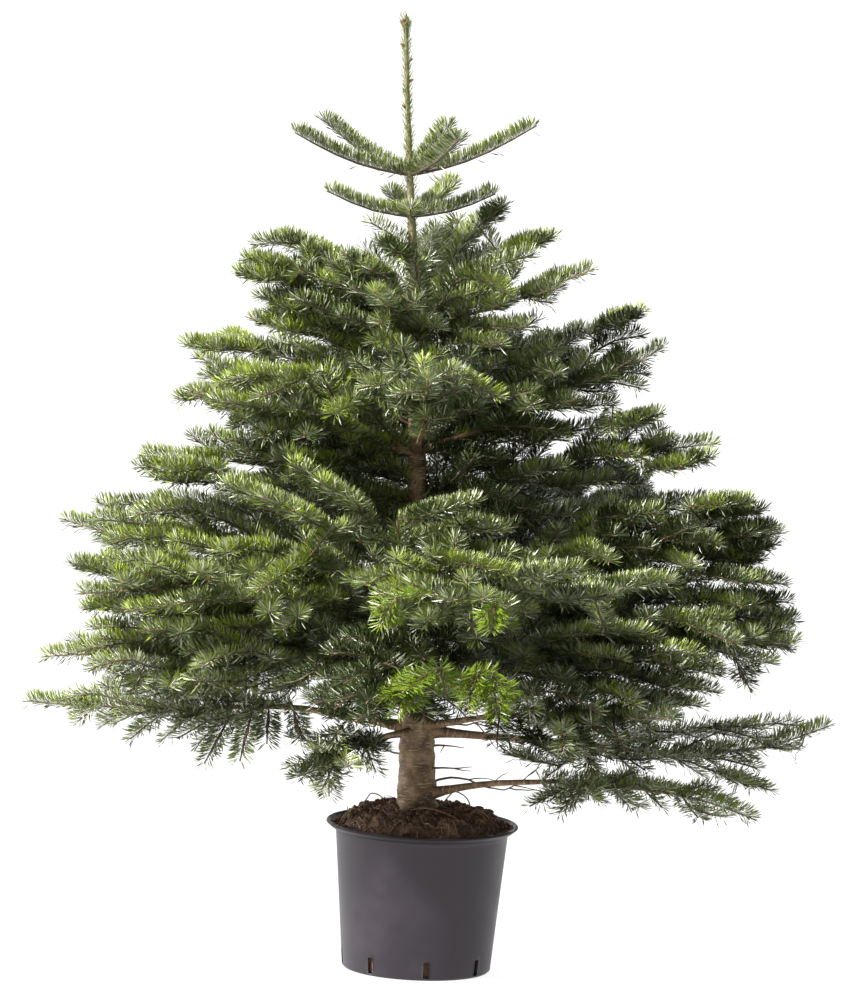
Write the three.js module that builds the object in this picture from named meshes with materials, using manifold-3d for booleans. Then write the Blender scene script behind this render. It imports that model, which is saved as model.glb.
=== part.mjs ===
// Young fir in a nursery pot: pot, soil, one whole trunk, boughs in whorls and a mass of foliage on each.
// Millimetres, +Z up. The origin is the centre of the pot's flat underside and -Y is the front.
import * as THREE from 'three';
import { mergeVertices } from 'three/addons/utils/BufferGeometryUtils.js';
import Module from 'manifold-3d';

// ---- driving dimensions ----

const clearance = 0.4; // air between neighbouring solids
const foliageClearance = 0.75; // the same round the slanting faces of the foliage

const pot = {
  baseRadius: 116.5,
  wallTopRadius: 135,
  rimRadius: 150,
  height: 232,
  wall: 2.6,
  floor: 4,
  footChamfer: 3,
  collarDrop: 15, // from the top of the rim down to where the collar leaves the wall
  lipDepth: 8, // height of the rolled edge
  segments: 32,
  slots: 8,
  slotWidth: 9,
  slotHeight: 25,
  firstSlot: -37, // azimuth in degrees
};

const soil = {
  edgeBelowRim: 7,
  shoulderRadius: 96,
  shoulderHeight: 250,
  top: 256,
  seatRadius: 40, // level patch under the trunk
  roughness: 4,
};

// Height, sideways lean and radius of the trunk, from the flat cut on the soil to the end buds.
const trunk = {
  sides: 12,
  stations: [
    [soil.top + clearance, -9.5, 33],
    [270, -10, 29],
    [300, -11.5, 27.3],
    [400, -16, 25],
    [520, -21.5, 21],
    [660, -27.5, 17.5],
    [800, -34, 14.2],
    [1004, -44.5, 10],
    [1140, -56, 7],
    [1240, -64.5, 5.4],
    [1360, -74, 4.2],
    [1470, -81, 3.6],
    [1482, -81.8, 6.2],
    [1495, -82.4, 2.5],
  ],
  flareTop: 300, // the lobes of the root flare die out here
  flareLobes: 5,
  flareDepth: 3,
};

// Each whorl gives its height on the trunk and, as parts of the reach, where the foliage begins, its
// half-width, its depth over and under the limb and the limb's bow. Boughs are [azimuth, reach, rise of the tip].
const whorls = [
  {
    name: 'whorl_1', height: 1004, start: 0.2, width: 0.42, over: 0.26, under: 0.22, bow: -0.02,
    boughs: [[-10, 283, 113], [72, 262, 140], [172, 280, 92], [252, 222, 78]],
  },
  {
    name: 'whorl_2', height: 808, start: 0.2, width: 0.36, over: 0.17, under: 0.22, bow: 0.03,
    boughs: [[-2, 388, 192], [46, 375, 185], [104, 352, 160], [160, 388, 128], [204, 394, 104], [272, 352, 158]],
  },
  {
    name: 'whorl_3', height: 595, start: 0.22, width: 0.34, over: 0.1, under: 0.13, bow: 0.03,
    boughs: [
      [-10, 580, 132], [50, 570, 130], [114, 575, 105],
      [176, 568, 84], [213, 618, 20], [281, 555, 68],
    ],
  },
  {
    name: 'whorl_4', height: 437, start: 0.22, width: 0.34, over: 0.1, under: 0.11, bow: 0.06,
    boughs: [[-14, 612, 128], [54, 590, 72], [126, 592, 52], [202, 626, 64], [262, 545, 58]],
  },
  {
    name: 'whorl_5', height: 374, start: 0.34, width: 0.24, over: 0.06, under: 0.12, bow: 0.05,
    boughs: [[188, 622, 34], [242, 395, -26], [320, 520, 90]],
  },
  {
    name: 'low_limb_1', height: 378, start: 0.36, width: 0.2, over: 0.05, under: 0.08, bow: -0.035,
    boughs: [[-2, 652, 37]],
  },
  {
    name: 'low_limb_2', height: 285, start: 0.38, width: 0.27, over: 0.07, under: 0.05, bow: 0.055,
    boughs: [[-19, 560, 6]],
  },
];

// Foliage with no bare limb under it, one mass to a shoot: [azimuth, reach, rise].
const denseRow = {
  name: 'middle_shoot', height: 742, width: 0.2, over: 0.1, under: 0.12, bow: 0.04,
  shoots: [[2, 472, 106], [170, 448, 40]],
};

// Young shoots that spring side by side from the thin top of the trunk, one mass to a row.
const youngRows = [
  {
    name: 'top_shoots', height: 1243, bow: 0.04, halfWidth: 17, over: 14, under: 10,
    shoots: [[-6, 190, 90], [-58, 140, 74], [52, 92, 80], [150, 160, 78], [185, 182, 64]],
  },
  {
    name: 'upper_shoots', height: 1180, bow: 0.02, halfWidth: 17, over: 12, under: 9,
    shoots: [[3, 128, 44], [62, 134, 50], [118, 74, 34], [180, 130, 36], [268, 66, 20]],
  },
];
const youngCollar = { radius: 13, height: 9 }; // needles round the foot of a row of young shoots

const bough = {
  rootRadius: 0.0165, // part of the reach, added to rootLeast
  rootLeast: 3.4,
  endShare: 0.62, // radius where the foliage begins, as a part of the root radius
  intoFoliage: 0.12, // the limb is drawn this far into its mass and trimmed on it
  sides: 6,
  steps: 2,
};

const foliage = {
  around: 8,
  along: 10,
  youngAlong: 5,
  lobes: 3.4, // scallops along each edge
  lobeDepth: 0.2,
  edgeWave: 0.16,
  bulkWave: 0.22,
  sideRoom: 0.97, // share of the room beside a bough that its foliage may take
};
const openSide = 50; // tangent that stands for no neighbour at the side

const finishes = {
  pot: { color: 0x35353c, roughness: 0.42, metalness: 0 },
  soil: { color: 0x2e1d13, roughness: 1, metalness: 0 },
  bark: { color: 0x6f5c4a, roughness: 0.9, metalness: 0 },
  needles: { color: 0x3f5c2c, roughness: 0.55, metalness: 0 },
};

// ---- solids ----

const wasm = await Module();
wasm.setup();

function asSolid(geometry) {
  const bare = geometry.index ? geometry.toNonIndexed() : geometry.clone();
  bare.deleteAttribute('normal');
  bare.deleteAttribute('uv');
  const merged = mergeVertices(bare, 1e-4);
  const kept = [];
  for (let i = 0; i < merged.index.count; i += 3) {
    const [a, b, c] = [0, 1, 2].map((k) => merged.index.getX(i + k));
    if (a !== b && b !== c && c !== a) kept.push(a, b, c);
  }
  return new wasm.Manifold(new wasm.Mesh({
    numProp: 3,
    vertProperties: new Float32Array(merged.attributes.position.array),
    triVerts: new Uint32Array(kept),
  }));
}

function asGeometry(solid) {
  const mesh = solid.getMesh();
  const geometry = new THREE.BufferGeometry();
  geometry.setAttribute('position', new THREE.BufferAttribute(mesh.vertProperties, 3));
  geometry.setIndex(new THREE.BufferAttribute(mesh.triVerts, 1));
  return geometry;
}

// The largest body is kept where a cut leaves crumbs.
function largestBody(solid) {
  return solid.decompose().reduce((a, b) => (b.volume() > a.volume() ? b : a));
}

function boxesMeet(a, b) {
  const [p, q] = [a.boundingBox(), b.boundingBox()];
  return [0, 1, 2].every((k) => p.min[k] < q.max[k] && q.min[k] < p.max[k]);
}

function cutBy(solid, tools) {
  const near = tools.filter((tool) => boxesMeet(solid, tool));
  return largestBody(near.reduce((left, tool) => left.subtract(tool), solid));
}

// A closed cylinder or sphere is drawn along its own axis: share runs from 0 to 1, angle goes round it.
function drawnAlong(geometry, shareOf, place) {
  const position = geometry.attributes.position;
  for (let i = 0; i < position.count; i += 1) {
    const [x, y, z] = [position.getX(i), position.getY(i), position.getZ(i)];
    const point = place(shareOf(y), Math.atan2(z, x), Math.hypot(x, z));
    position.setXYZ(i, point.x, point.y, point.z);
  }
  return geometry;
}

const radians = THREE.MathUtils.degToRad;
const { clamp, lerp, smoothstep } = THREE.MathUtils;

// A repeatable number between -1 and 1 for the unevenness of grown things.
function uneven(seed) {
  const wave = Math.sin(seed * 12.9898 + 4.1414) * 43758.5453;
  return 2 * (wave - Math.floor(wave)) - 1;
}

// ---- pot and soil ----

function potWallRadius(height) {
  return lerp(pot.baseRadius, pot.wallTopRadius, height / (pot.height - pot.collarDrop));
}

function potSolid() {
  const collar = pot.height - pot.collarDrop;
  const lipLow = pot.height - pot.lipDepth;
  const inner = (height) => potWallRadius(height) - pot.wall;
  const profile = [
    [0, 0],
    [pot.baseRadius - pot.footChamfer, 0],
    [potWallRadius(pot.footChamfer), pot.footChamfer],
    [pot.wallTopRadius, collar],
    [pot.rimRadius - pot.wall, lipLow],
    [pot.rimRadius, lipLow + pot.wall / 2],
    [pot.rimRadius, pot.height - pot.wall],
    [pot.rimRadius - pot.wall, pot.height],
    [pot.rimRadius - 2 * pot.wall, pot.height],
    [inner(collar) + pot.wall, collar + pot.wall],
    [inner(collar - pot.wall), collar - pot.wall],
    [inner(pot.floor), pot.floor],
    [0, pot.floor],
  ];
  const points = profile.map(([radius, height]) => new THREE.Vector2(radius, height));
  const body = asSolid(new THREE.LatheGeometry(points, pot.segments).rotateX(Math.PI / 2));
  const slots = [];
  for (let i = 0; i < pot.slots; i += 1) {
    const depth = 6 * pot.wall;
    const slot = new THREE.BoxGeometry(depth, pot.slotWidth, pot.slotHeight);
    slot.translate(pot.baseRadius, 0, pot.floor + pot.slotHeight / 2);
    slots.push(asSolid(slot.rotateZ(radians(pot.firstSlot + (i * 360) / pot.slots))));
  }
  return cutBy(body, slots);
}

function soilSolid() {
  const fit = pot.wall + 2 * clearance;
  const edge = pot.height - soil.edgeBelowRim;
  const collar = pot.height - pot.collarDrop;
  const bottom = pot.floor + clearance;
  const profile = [
    [0, bottom],
    [potWallRadius(bottom) - fit, bottom],
    [potWallRadius(collar) - fit, collar - pot.wall],
    [potWallRadius(collar) - fit, edge],
    [lerp(soil.shoulderRadius, pot.wallTopRadius, 0.5), lerp(edge, soil.shoulderHeight, 0.7)],
    [soil.shoulderRadius, soil.shoulderHeight],
    [lerp(soil.seatRadius, soil.shoulderRadius, 0.5), lerp(soil.top, soil.shoulderHeight, 0.5)],
    [soil.seatRadius, soil.top],
    [0, soil.top],
  ];
  const points = profile.map(([radius, height]) => new THREE.Vector2(radius, height));
  const geometry = new THREE.LatheGeometry(points, pot.segments).rotateX(Math.PI / 2);
  const position = geometry.attributes.position;
  for (let i = 0; i < position.count; i += 1) {
    const [x, y, z] = [position.getX(i), position.getY(i), position.getZ(i)];
    const radius = Math.hypot(x, y);
    const loose = z > edge + 1 && radius > soil.seatRadius + 1;
    const angle = Math.atan2(y, x);
    const wave = Math.sin(3 * angle + 1) + Math.sin(5 * angle + radius) + Math.sin(8 * angle + 2 * radius);
    if (loose) position.setZ(i, z + (soil.roughness * wave) / 3);
  }
  return asSolid(geometry);
}

// ---- trunk ----

function trunkAt(height) {
  const rows = trunk.stations;
  const last = rows.length - 2;
  const found = rows.findIndex((row, i) => i <= last && height <= rows[i + 1][0]);
  const i = found < 0 ? last : found;
  const share = clamp((height - rows[i][0]) / (rows[i + 1][0] - rows[i][0]), 0, 1);
  return { x: lerp(rows[i][1], rows[i + 1][1], share), radius: lerp(rows[i][2], rows[i + 1][2], share) };
}

function trunkSolid(grow) {
  const rows = trunk.stations;
  const steps = rows.length - 1;
  const stem = new THREE.CylinderGeometry(1, 1, steps, trunk.sides, steps);
  const shareOf = (y) => Math.round(y + steps / 2) / steps;
  const placed = drawnAlong(stem, shareOf, (share, angle, off) => {
    const [height, x, radius] = rows[Math.round(share * steps)];
    const flare = 1 - smoothstep(height, rows[0][0], trunk.flareTop);
    const lobe = trunk.flareDepth * flare * Math.cos(trunk.flareLobes * angle);
    const reach = off * (radius + lobe + grow);
    const end = share === 0 ? -grow : share === 1 ? grow : 0;
    return new THREE.Vector3(x + reach * Math.cos(angle), -reach * Math.sin(angle), height + end);
  });
  return asSolid(placed);
}

// ---- boughs and foliage ----

// The line of one limb: out from the trunk at an azimuth, rising to its tip with a bow.
function limbLine(height, [azimuth, reach, rise], bow) {
  const outward = new THREE.Vector3(Math.cos(radians(azimuth)), Math.sin(radians(azimuth)), 0);
  const root = new THREE.Vector3(trunkAt(height).x, 0, height);
  return {
    reach,
    outward,
    side: new THREE.Vector3(0, 0, 1).cross(outward),
    at(share) {
      const lift = rise * share + bow * reach * Math.sin(Math.PI * clamp(share, 0, 1));
      return root.clone().addScaledVector(outward, reach * share).setZ(height + lift);
    },
  };
}

function boughSolid(line, end, grow) {
  const root = bough.rootLeast + bough.rootRadius * line.reach;
  const limb = new THREE.CylinderGeometry(1, 1, 1, bough.sides, bough.steps);
  const placed = drawnAlong(limb, (y) => 0.5 - y, (share, angle, off) => {
    const radius = off * (lerp(root, root * bough.endShare, share) + grow);
    return line.at(share * end)
      .addScaledVector(line.side, radius * Math.cos(angle))
      .add(new THREE.Vector3(0, 0, radius * Math.sin(angle)));
  });
  return asSolid(placed);
}

// Half-width of a fan of foliage: broad in its inner half, drawn in to a blunt tip.
function fanShape(share) {
  return Math.min(1, 3.2 * share) * (1 - share) ** 0.5 + 0.08 * share;
}

// Depth of a fan of foliage: it swells from its foot and stays deep nearly to the tip.
function fanBulk(share) {
  return 0.3 + 0.7 * Math.sin(Math.PI * clamp(0.1 + 0.86 * share, 0, 1)) ** 0.8;
}

// A flattened fan with scalloped edges, from `from` to the tip of the limb. `room` holds the tangents of the
// angles to the neighbours at its sides, so that fans of one whorl lie side by side.
function fanSolid(line, shape, grow) {
  const { from, width, over, under, room, seed, along } = shape;
  const fan = new THREE.SphereGeometry(1, foliage.around, along);
  const stretch = grow / (line.reach * (1 - from));
  const placed = drawnAlong(fan, (y) => Math.acos(clamp(y, -1, 1)) / Math.PI, (share, angle, off) => {
    const outward = lerp(from, 1, share + stretch * (2 * share - 1));
    const step = Math.round(share * along);
    const side = Math.cos(angle) > 0 ? 0 : 1;
    const scallop = Math.cos(2 * Math.PI * (foliage.lobes * share + uneven(seed + 7 * side)));
    const edge = 1 + foliage.lobeDepth * scallop + foliage.edgeWave * uneven(seed + 3 + step);
    const widest = line.reach * outward * room[side] * foliage.sideRoom;
    const halfWidth = Math.min(width * fanShape(share) * edge, widest) + grow;
    const swell = 1 + foliage.bulkWave * uneven(seed + 11 + 2 * step + Math.round(angle));
    const depth = (Math.sin(angle) > 0 ? over : under) * fanBulk(share) * swell + grow;
    const isPole = off < 1e-6;
    return line.at(outward)
      .addScaledVector(line.side, isPole ? 0 : halfWidth * Math.cos(angle))
      .add(new THREE.Vector3(0, 0, isPole ? 0 : depth * Math.sin(angle)));
  });
  return asSolid(placed);
}

// Tangents of half the angle to the next bough on the left and on the right.
function roomBeside(azimuths, index) {
  const full = 360;
  const count = azimuths.length;
  const gap = (other) => ((azimuths[other] - azimuths[index]) % full + full) % full || full;
  const left = gap((index + 1) % count);
  const right = full - gap((index + count - 1) % count) || full;
  return [left, right].map((angle) => Math.tan(radians(Math.min(angle / 2, 75))));
}

function fanShapeOf(row, reach, from, room, seed) {
  const { width, over, under } = row;
  const sizes = { width: width * reach, over: over * reach, under: under * reach };
  return { ...sizes, from, room, seed, along: foliage.along };
}

function plannedLimbs() {
  const limbs = [];
  whorls.forEach((whorl) => {
    const azimuths = whorl.boughs.map(([azimuth]) => azimuth);
    whorl.boughs.forEach((row, i) => {
      const line = limbLine(whorl.height, row, whorl.bow);
      const suffix = whorl.boughs.length > 1 ? `_${i + 1}` : '';
      const room = roomBeside(azimuths, i);
      limbs.push({
        line,
        boughName: `${whorl.name}_bough${suffix}`,
        foliageName: `${whorl.name}_foliage${suffix}`,
        end: whorl.start + bough.intoFoliage,
        shape: fanShapeOf(whorl, line.reach, whorl.start, room, limbs.length + 1),
      });
    });
  });
  denseRow.shoots.forEach((row, i) => {
    const line = limbLine(denseRow.height, row, denseRow.bow);
    limbs.push({
      line,
      foliageName: `${denseRow.name}_${i + 1}`,
      shape: fanShapeOf(denseRow, line.reach, 0, [openSide, openSide], limbs.length + 1),
    });
  });
  return limbs;
}

// The shoots of one row and the collar that joins them round the trunk.
function youngSolid(row) {
  const foot = new THREE.SphereGeometry(1, foliage.around, foliage.youngAlong).rotateX(Math.PI / 2);
  foot.scale(youngCollar.radius, youngCollar.radius, youngCollar.height);
  const collar = asSolid(foot.translate(trunkAt(row.height).x, 0, row.height + youngCollar.height / 2));
  const room = [openSide, openSide];
  const { halfWidth, over, under } = row;
  return row.shoots.reduce((joined, shoot, i) => {
    const shape = { from: 0, width: halfWidth, over, under, room, seed: i + 1, along: foliage.youngAlong };
    return joined.add(fanSolid(limbLine(row.height, shoot, row.bow), shape, 0));
  }, collar);
}

// ---- assembly ----

const tree = new THREE.Group();

function addPiece(name, solid, finish) {
  const mesh = new THREE.Mesh(asGeometry(solid), new THREE.MeshStandardMaterial(finishes[finish]));
  mesh.name = name;
  tree.add(mesh);
}

addPiece('pot', potSolid(), 'pot');
addPiece('soil', soilSolid(), 'soil');
addPiece('trunk', trunkSolid(0), 'bark');

const roundTrunk = trunkSolid(clearance);
const limbs = plannedLimbs();
const carried = limbs.filter((limb) => limb.boughName);
carried.forEach((limb) => {
  limb.roundBough = boughSolid(limb.line, limb.end, clearance);
});

// Foliage is cut round the trunk, round the limbs of its neighbours and round the foliage placed before it.
const placedFoliage = [];
limbs.forEach((limb) => {
  const otherBoughs = carried.filter((other) => other !== limb).map((other) => other.roundBough);
  const fan = fanSolid(limb.line, limb.shape, 0);
  addPiece(limb.foliageName, cutBy(fan, [roundTrunk, ...otherBoughs, ...placedFoliage]), 'needles');
  limb.roundFan = fanSolid(limb.line, limb.shape, foliageClearance);
  placedFoliage.push(limb.roundFan);
});

// Each bough is trimmed on the trunk, on its own foliage and on boughs of its whorl already placed.
const placedBoughs = [];
carried.forEach((limb) => {
  const raw = boughSolid(limb.line, limb.end, 0);
  addPiece(limb.boughName, cutBy(raw, [roundTrunk, limb.roundFan, ...placedBoughs]), 'bark');
  placedBoughs.push(limb.roundBough);
});

youngRows.forEach((row) => {
  addPiece(row.name, cutBy(youngSolid(row), [roundTrunk, ...placedFoliage]), 'needles');
});

export default tree;
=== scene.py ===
# A young fir in a nursery pot: pot and peat, bark on the trunk and boughs, and the twigs, needles
# and buds that grow on from the boughs. Metres, in the frame of the CAD: +Z up, front towards -Y.
import math

import bmesh
import bpy
import numpy as np
from mathutils import Matrix, Vector, noise
from mathutils.bvhtree import BVHTree


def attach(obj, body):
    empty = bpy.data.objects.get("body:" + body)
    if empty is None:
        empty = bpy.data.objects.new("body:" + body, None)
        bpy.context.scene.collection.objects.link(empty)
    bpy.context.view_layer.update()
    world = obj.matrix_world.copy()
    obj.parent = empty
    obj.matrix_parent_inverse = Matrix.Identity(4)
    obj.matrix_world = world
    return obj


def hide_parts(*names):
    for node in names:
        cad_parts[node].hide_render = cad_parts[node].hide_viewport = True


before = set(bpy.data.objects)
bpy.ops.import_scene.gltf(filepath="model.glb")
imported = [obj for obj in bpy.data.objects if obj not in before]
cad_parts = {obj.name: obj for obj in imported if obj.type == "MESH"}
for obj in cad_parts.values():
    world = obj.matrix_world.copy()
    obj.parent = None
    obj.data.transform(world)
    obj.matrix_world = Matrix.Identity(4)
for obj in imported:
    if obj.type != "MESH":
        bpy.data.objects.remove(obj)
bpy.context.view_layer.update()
upward = np.array([0.0, 0.0, 1.0])

# camera, floor and light

cameraSet = {
    "eye": (0.0, -12.0, 2.2),
    "aim": (-0.0164, 0.0, 0.741),
    "lens": 278.6,
    "sensor": 36.0,
    "roll": 2.6,  # degrees
    "farthest": 2000.0,
}

studio = {
    "floorSize": 900.0,
    "floorTone": (0.07, 0.07, 0.07),
    "floorRough": 0.9,
    "floorSpecular": 0.1,
    "floorGlow": 0.93,  # keeps the shadow under the crown pale
    "frontToBack": (-0.8, 0.8, 0.15, 1.15),  # the studio is darker behind the camera
    "leftToRight": (-0.9, 0.9, 5.6, 0.20),  # and brighter on the left
    "skyTop": 0.85,
    "topFrom": (0.35, 1.0),
    "keyStrength": 10.3,
    "keySpread": 5.0,  # degrees
    "keyFrom": (-1.0, -0.62, 0.98),
    "keyTone": (1.0, 0.985, 0.95),
}


def placeCamera():
    data = bpy.data.cameras.new("camera")
    data.lens = cameraSet["lens"]
    data.sensor_width = cameraSet["sensor"]
    data.clip_end = cameraSet["farthest"]
    camera = bpy.data.objects.new("camera", data)
    look = Vector(cameraSet["aim"]) - Vector(cameraSet["eye"])
    turn = Matrix.Rotation(math.radians(cameraSet["roll"]), 3, "Z")
    camera.location = cameraSet["eye"]
    camera.rotation_euler = (look.to_track_quat("-Z", "Y").to_matrix() @ turn).to_euler()
    bpy.context.scene.collection.objects.link(camera)
    bpy.context.scene.camera = camera


def lightStudio():
    world = bpy.data.worlds.new("studio")
    wiring = Wiring(world)
    background = wiring.nodes["Background"]
    heading = wiring.nodes.new("ShaderNodeTexCoord").outputs["Generated"]
    depth = wiring.span(wiring.part(heading, "Y"), *studio["frontToBack"])
    across = wiring.span(wiring.part(heading, "X"), *studio["leftToRight"])
    blend = wiring.nodes.new("ShaderNodeMix")
    wiring.links.new(wiring.span(wiring.part(heading, "Z"), *studio["topFrom"]), blend.inputs["Factor"])
    wiring.links.new(wiring.combined("MULTIPLY", depth, across), blend.inputs["A"])
    blend.inputs["B"].default_value = studio["skyTop"]
    wiring.links.new(blend.outputs["Result"], background.inputs["Strength"])
    background.inputs["Color"].default_value = (1.0, 1.0, 1.0, 1.0)
    bpy.context.scene.world = world
    key = bpy.data.lights.new("key", "SUN")
    key.energy = studio["keyStrength"]
    key.angle = math.radians(studio["keySpread"])
    key.color = studio["keyTone"]
    lamp = bpy.data.objects.new("key", key)
    lamp.rotation_euler = Vector(studio["keyFrom"]).to_track_quat("Z", "Y").to_euler()
    bpy.context.scene.collection.objects.link(lamp)
    bpy.context.scene.view_settings.view_transform = "Standard"


def layFloor():
    half = studio["floorSize"] / 2
    mesh = bpy.data.meshes.new("floor")
    corners = [(-half, -half, 0), (half, -half, 0), (half, half, 0), (-half, half, 0)]
    mesh.from_pydata(corners, [], [(0, 1, 2, 3)])
    floor = bpy.data.objects.new("floor", mesh)
    bpy.context.scene.collection.objects.link(floor)
    finish = {
        "Base Color": (*studio["floorTone"], 1.0),
        "Roughness": studio["floorRough"],
        "Specular IOR Level": studio["floorSpecular"],
        "Emission Color": (1.0, 1.0, 1.0, 1.0),
        "Emission Strength": studio["floorGlow"],
    }
    mesh.materials.append(newMaterial("pale_floor", finish)[0])


# materials

class Wiring:
    # short ways to wire the nodes of a material or of the world
    def __init__(self, owner):
        owner.use_nodes = True
        self.nodes = owner.node_tree.nodes
        self.links = owner.node_tree.links

    def part(self, vector, axis):
        split = self.nodes.new("ShaderNodeSeparateXYZ")
        self.links.new(vector, split.inputs["Vector"])
        return split.outputs[axis]

    def combined(self, operation, first, second):
        node = self.nodes.new("ShaderNodeMath")
        node.operation = operation
        self.links.new(first, node.inputs[0])
        self.links.new(second, node.inputs[1])
        return node.outputs["Value"]

    def ramp(self, value, places, tones):
        node = self.nodes.new("ShaderNodeValToRGB")
        while len(node.color_ramp.elements) < len(places):
            node.color_ramp.elements.new(0.5)
        for element, place, tone in zip(node.color_ramp.elements, places, tones):
            element.position = place
            element.color = (*tone, 1.0)
        self.links.new(value, node.inputs["Fac"])
        return node.outputs["Color"]

    def noise(self, place, scale, detail, rough, stretch=(1, 1, 1)):
        mapping = self.nodes.new("ShaderNodeMapping")
        mapping.inputs["Scale"].default_value = stretch
        self.links.new(place, mapping.inputs["Vector"])
        texture = self.nodes.new("ShaderNodeTexNoise")
        texture.inputs["Scale"].default_value = scale
        texture.inputs["Detail"].default_value = detail
        texture.inputs["Roughness"].default_value = rough
        self.links.new(mapping.outputs["Vector"], texture.inputs["Vector"])
        return texture.outputs["Fac"]

    def mix(self, share, first, second, blend="MIX"):
        node = self.nodes.new("ShaderNodeMix")
        node.data_type = "RGBA"
        node.blend_type = blend
        for socket, value in ((node.inputs[0], share), (node.inputs[6], first), (node.inputs[7], second)):
            if isinstance(value, bpy.types.NodeSocket):
                self.links.new(value, socket)
            else:
                socket.default_value = value if isinstance(value, float) else (*value, 1.0)
        return node.outputs[2]

    def span(self, value, low, high, toLow=0.0, toHigh=1.0):
        node = self.nodes.new("ShaderNodeMapRange")
        self.links.new(value, node.inputs["Value"])
        node.inputs["From Min"].default_value = low
        node.inputs["From Max"].default_value = high
        node.inputs["To Min"].default_value = toLow
        node.inputs["To Max"].default_value = toHigh
        return node.outputs["Result"]

    def bump(self, shader, height, strength, distance):
        node = self.nodes.new("ShaderNodeBump")
        node.inputs["Strength"].default_value = strength
        node.inputs["Distance"].default_value = distance
        self.links.new(height, node.inputs["Height"])
        self.links.new(node.outputs["Normal"], shader.inputs["Normal"])


def newMaterial(name, finish):
    # finish holds the plain values of the shader
    material = bpy.data.materials.new(name)
    wiring = Wiring(material)
    shader = wiring.nodes["Principled BSDF"]
    for socket, value in finish.items():
        shader.inputs[socket].default_value = value
    return material, wiring, shader


barkTones = {
    "dark": (0.080, 0.044, 0.022),
    "middle": (0.200, 0.124, 0.064),
    "light": (0.370, 0.262, 0.152),
    "lenticel": (0.480, 0.375, 0.245),
}
barkFinish = {
    # noises: scale, detail, roughness, stretch; spans: from, to, lowest, highest
    "patches": (34.0, 5.0, 0.6),
    "streaks": (60.0, 4.0, 0.62, (1, 1, 7)),
    "fibres": (240.0, 3.0, 0.6, (1, 1, 1.8)),
    "toneSteps": (0.36, 0.5, 0.64),
    "lenticels": (0.56, 0.66),
    "grain": (0.3, 0.7, 0.72, 1.0),
    "youngTone": (0.170, 0.165, 0.082),
    "youngHeights": (0.74, 0.98),  # the upper stem is still green
    "youngShare": (0.0, 0.72),
    "rough": (0.3, 0.7, 0.55, 0.86),
    "bump": (0.5, 0.002),
}


def barkMaterial(name, tint=1.0, young=False):
    material, wiring, shader = newMaterial(name, {})
    place = wiring.nodes.new("ShaderNodeAttribute")
    place.attribute_name = "barkPlace"
    vector = place.outputs["Vector"]
    tones = [tuple(tint * c for c in tone) for tone in barkTones.values()]
    patches = wiring.noise(vector, *barkFinish["patches"])
    streaks = wiring.noise(vector, *barkFinish["streaks"])
    fibres = wiring.noise(vector, *barkFinish["fibres"])
    colour = wiring.ramp(patches, barkFinish["toneSteps"], tones[:3])
    colour = wiring.mix(wiring.span(streaks, *barkFinish["lenticels"]), colour, tones[3])
    grain = wiring.span(fibres, *barkFinish["grain"])
    grainTone = wiring.nodes.new("ShaderNodeCombineColor")
    for socket in list(grainTone.inputs)[:3]:
        wiring.links.new(grain, socket)
    colour = wiring.mix(1.0, colour, grainTone.outputs["Color"], "MULTIPLY")
    if young:
        height = wiring.part(vector, "Z")
        green = wiring.span(height, *barkFinish["youngHeights"], *barkFinish["youngShare"])
        colour = wiring.mix(green, colour, barkFinish["youngTone"])
    wiring.links.new(colour, shader.inputs["Base Color"])
    wiring.links.new(wiring.span(patches, *barkFinish["rough"]), shader.inputs["Roughness"])
    wiring.bump(shader, streaks, *barkFinish["bump"])
    return material


needleTones = {
    # painted shade: the darkest tone, dealt to sprays on limbs in shadow
    "shade": (0.030, 0.042, 0.009),
    "deep": (0.052, 0.075, 0.016),
    "leaf": (0.138, 0.184, 0.021),
    "frost": (0.205, 0.240, 0.088),
    "fresh": (0.225, 0.295, 0.014),
    "under": (0.380, 0.400, 0.270),
    "vivid": (0.130, 0.195, 0.008),
}
toneAt = {name: slot for slot, name in enumerate(needleTones)}
needleGloss = {
    "rough": 0.38,
    "specular": 0.85,
    "dull": {"shade": 0.30, "vivid": 0.5},
}


def needleMaterials():
    made = []
    for name, tone in needleTones.items():
        specular = needleGloss["dull"].get(name, needleGloss["specular"])
        made.append(plainMaterial("needles_" + name, tone, needleGloss["rough"], specular))
    return made


def plainMaterial(name, tone, rough, specular=0.5):
    finish = {"Base Color": (*tone, 1.0), "Roughness": rough, "Specular IOR Level": specular}
    return newMaterial(name, finish)[0]


# mesh building

def joinedPiece(name, points, triangles, materials, slots=None, place=None, smooth=True):
    mesh = bpy.data.meshes.new(name)
    count = len(triangles)
    mesh.vertices.add(len(points))
    mesh.vertices.foreach_set("co", np.ascontiguousarray(points, np.float32).ravel())
    mesh.loops.add(count * 3)
    mesh.loops.foreach_set("vertex_index", np.ascontiguousarray(triangles, np.int32).ravel())
    mesh.polygons.add(count)
    mesh.polygons.foreach_set("loop_start", np.arange(0, count * 3, 3, dtype=np.int32))
    for material in materials:
        mesh.materials.append(material)
    if slots is not None:
        mesh.polygons.foreach_set("material_index", np.ascontiguousarray(slots, np.int32))
    mesh.polygons.foreach_set("use_smooth", np.full(count, smooth))
    if place is not None:
        attribute = mesh.attributes.new("barkPlace", "FLOAT_VECTOR", "POINT")
        attribute.data.foreach_set("vector", np.ascontiguousarray(place, np.float32).ravel())
    mesh.update(calc_edges=True)
    piece = bpy.data.objects.new(name, mesh)
    bpy.context.scene.collection.objects.link(piece)
    return piece


def unit(vector):
    return vector / max(np.linalg.norm(vector), 1e-12)


def units(vectors):
    return vectors / np.maximum(np.linalg.norm(vectors, axis=1, keepdims=True), 1e-12)


def turned(vector, axis, angle):
    return (vector * math.cos(angle) + np.cross(axis, vector) * math.sin(angle)
            + axis * np.dot(axis, vector) * (1 - math.cos(angle)))


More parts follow.
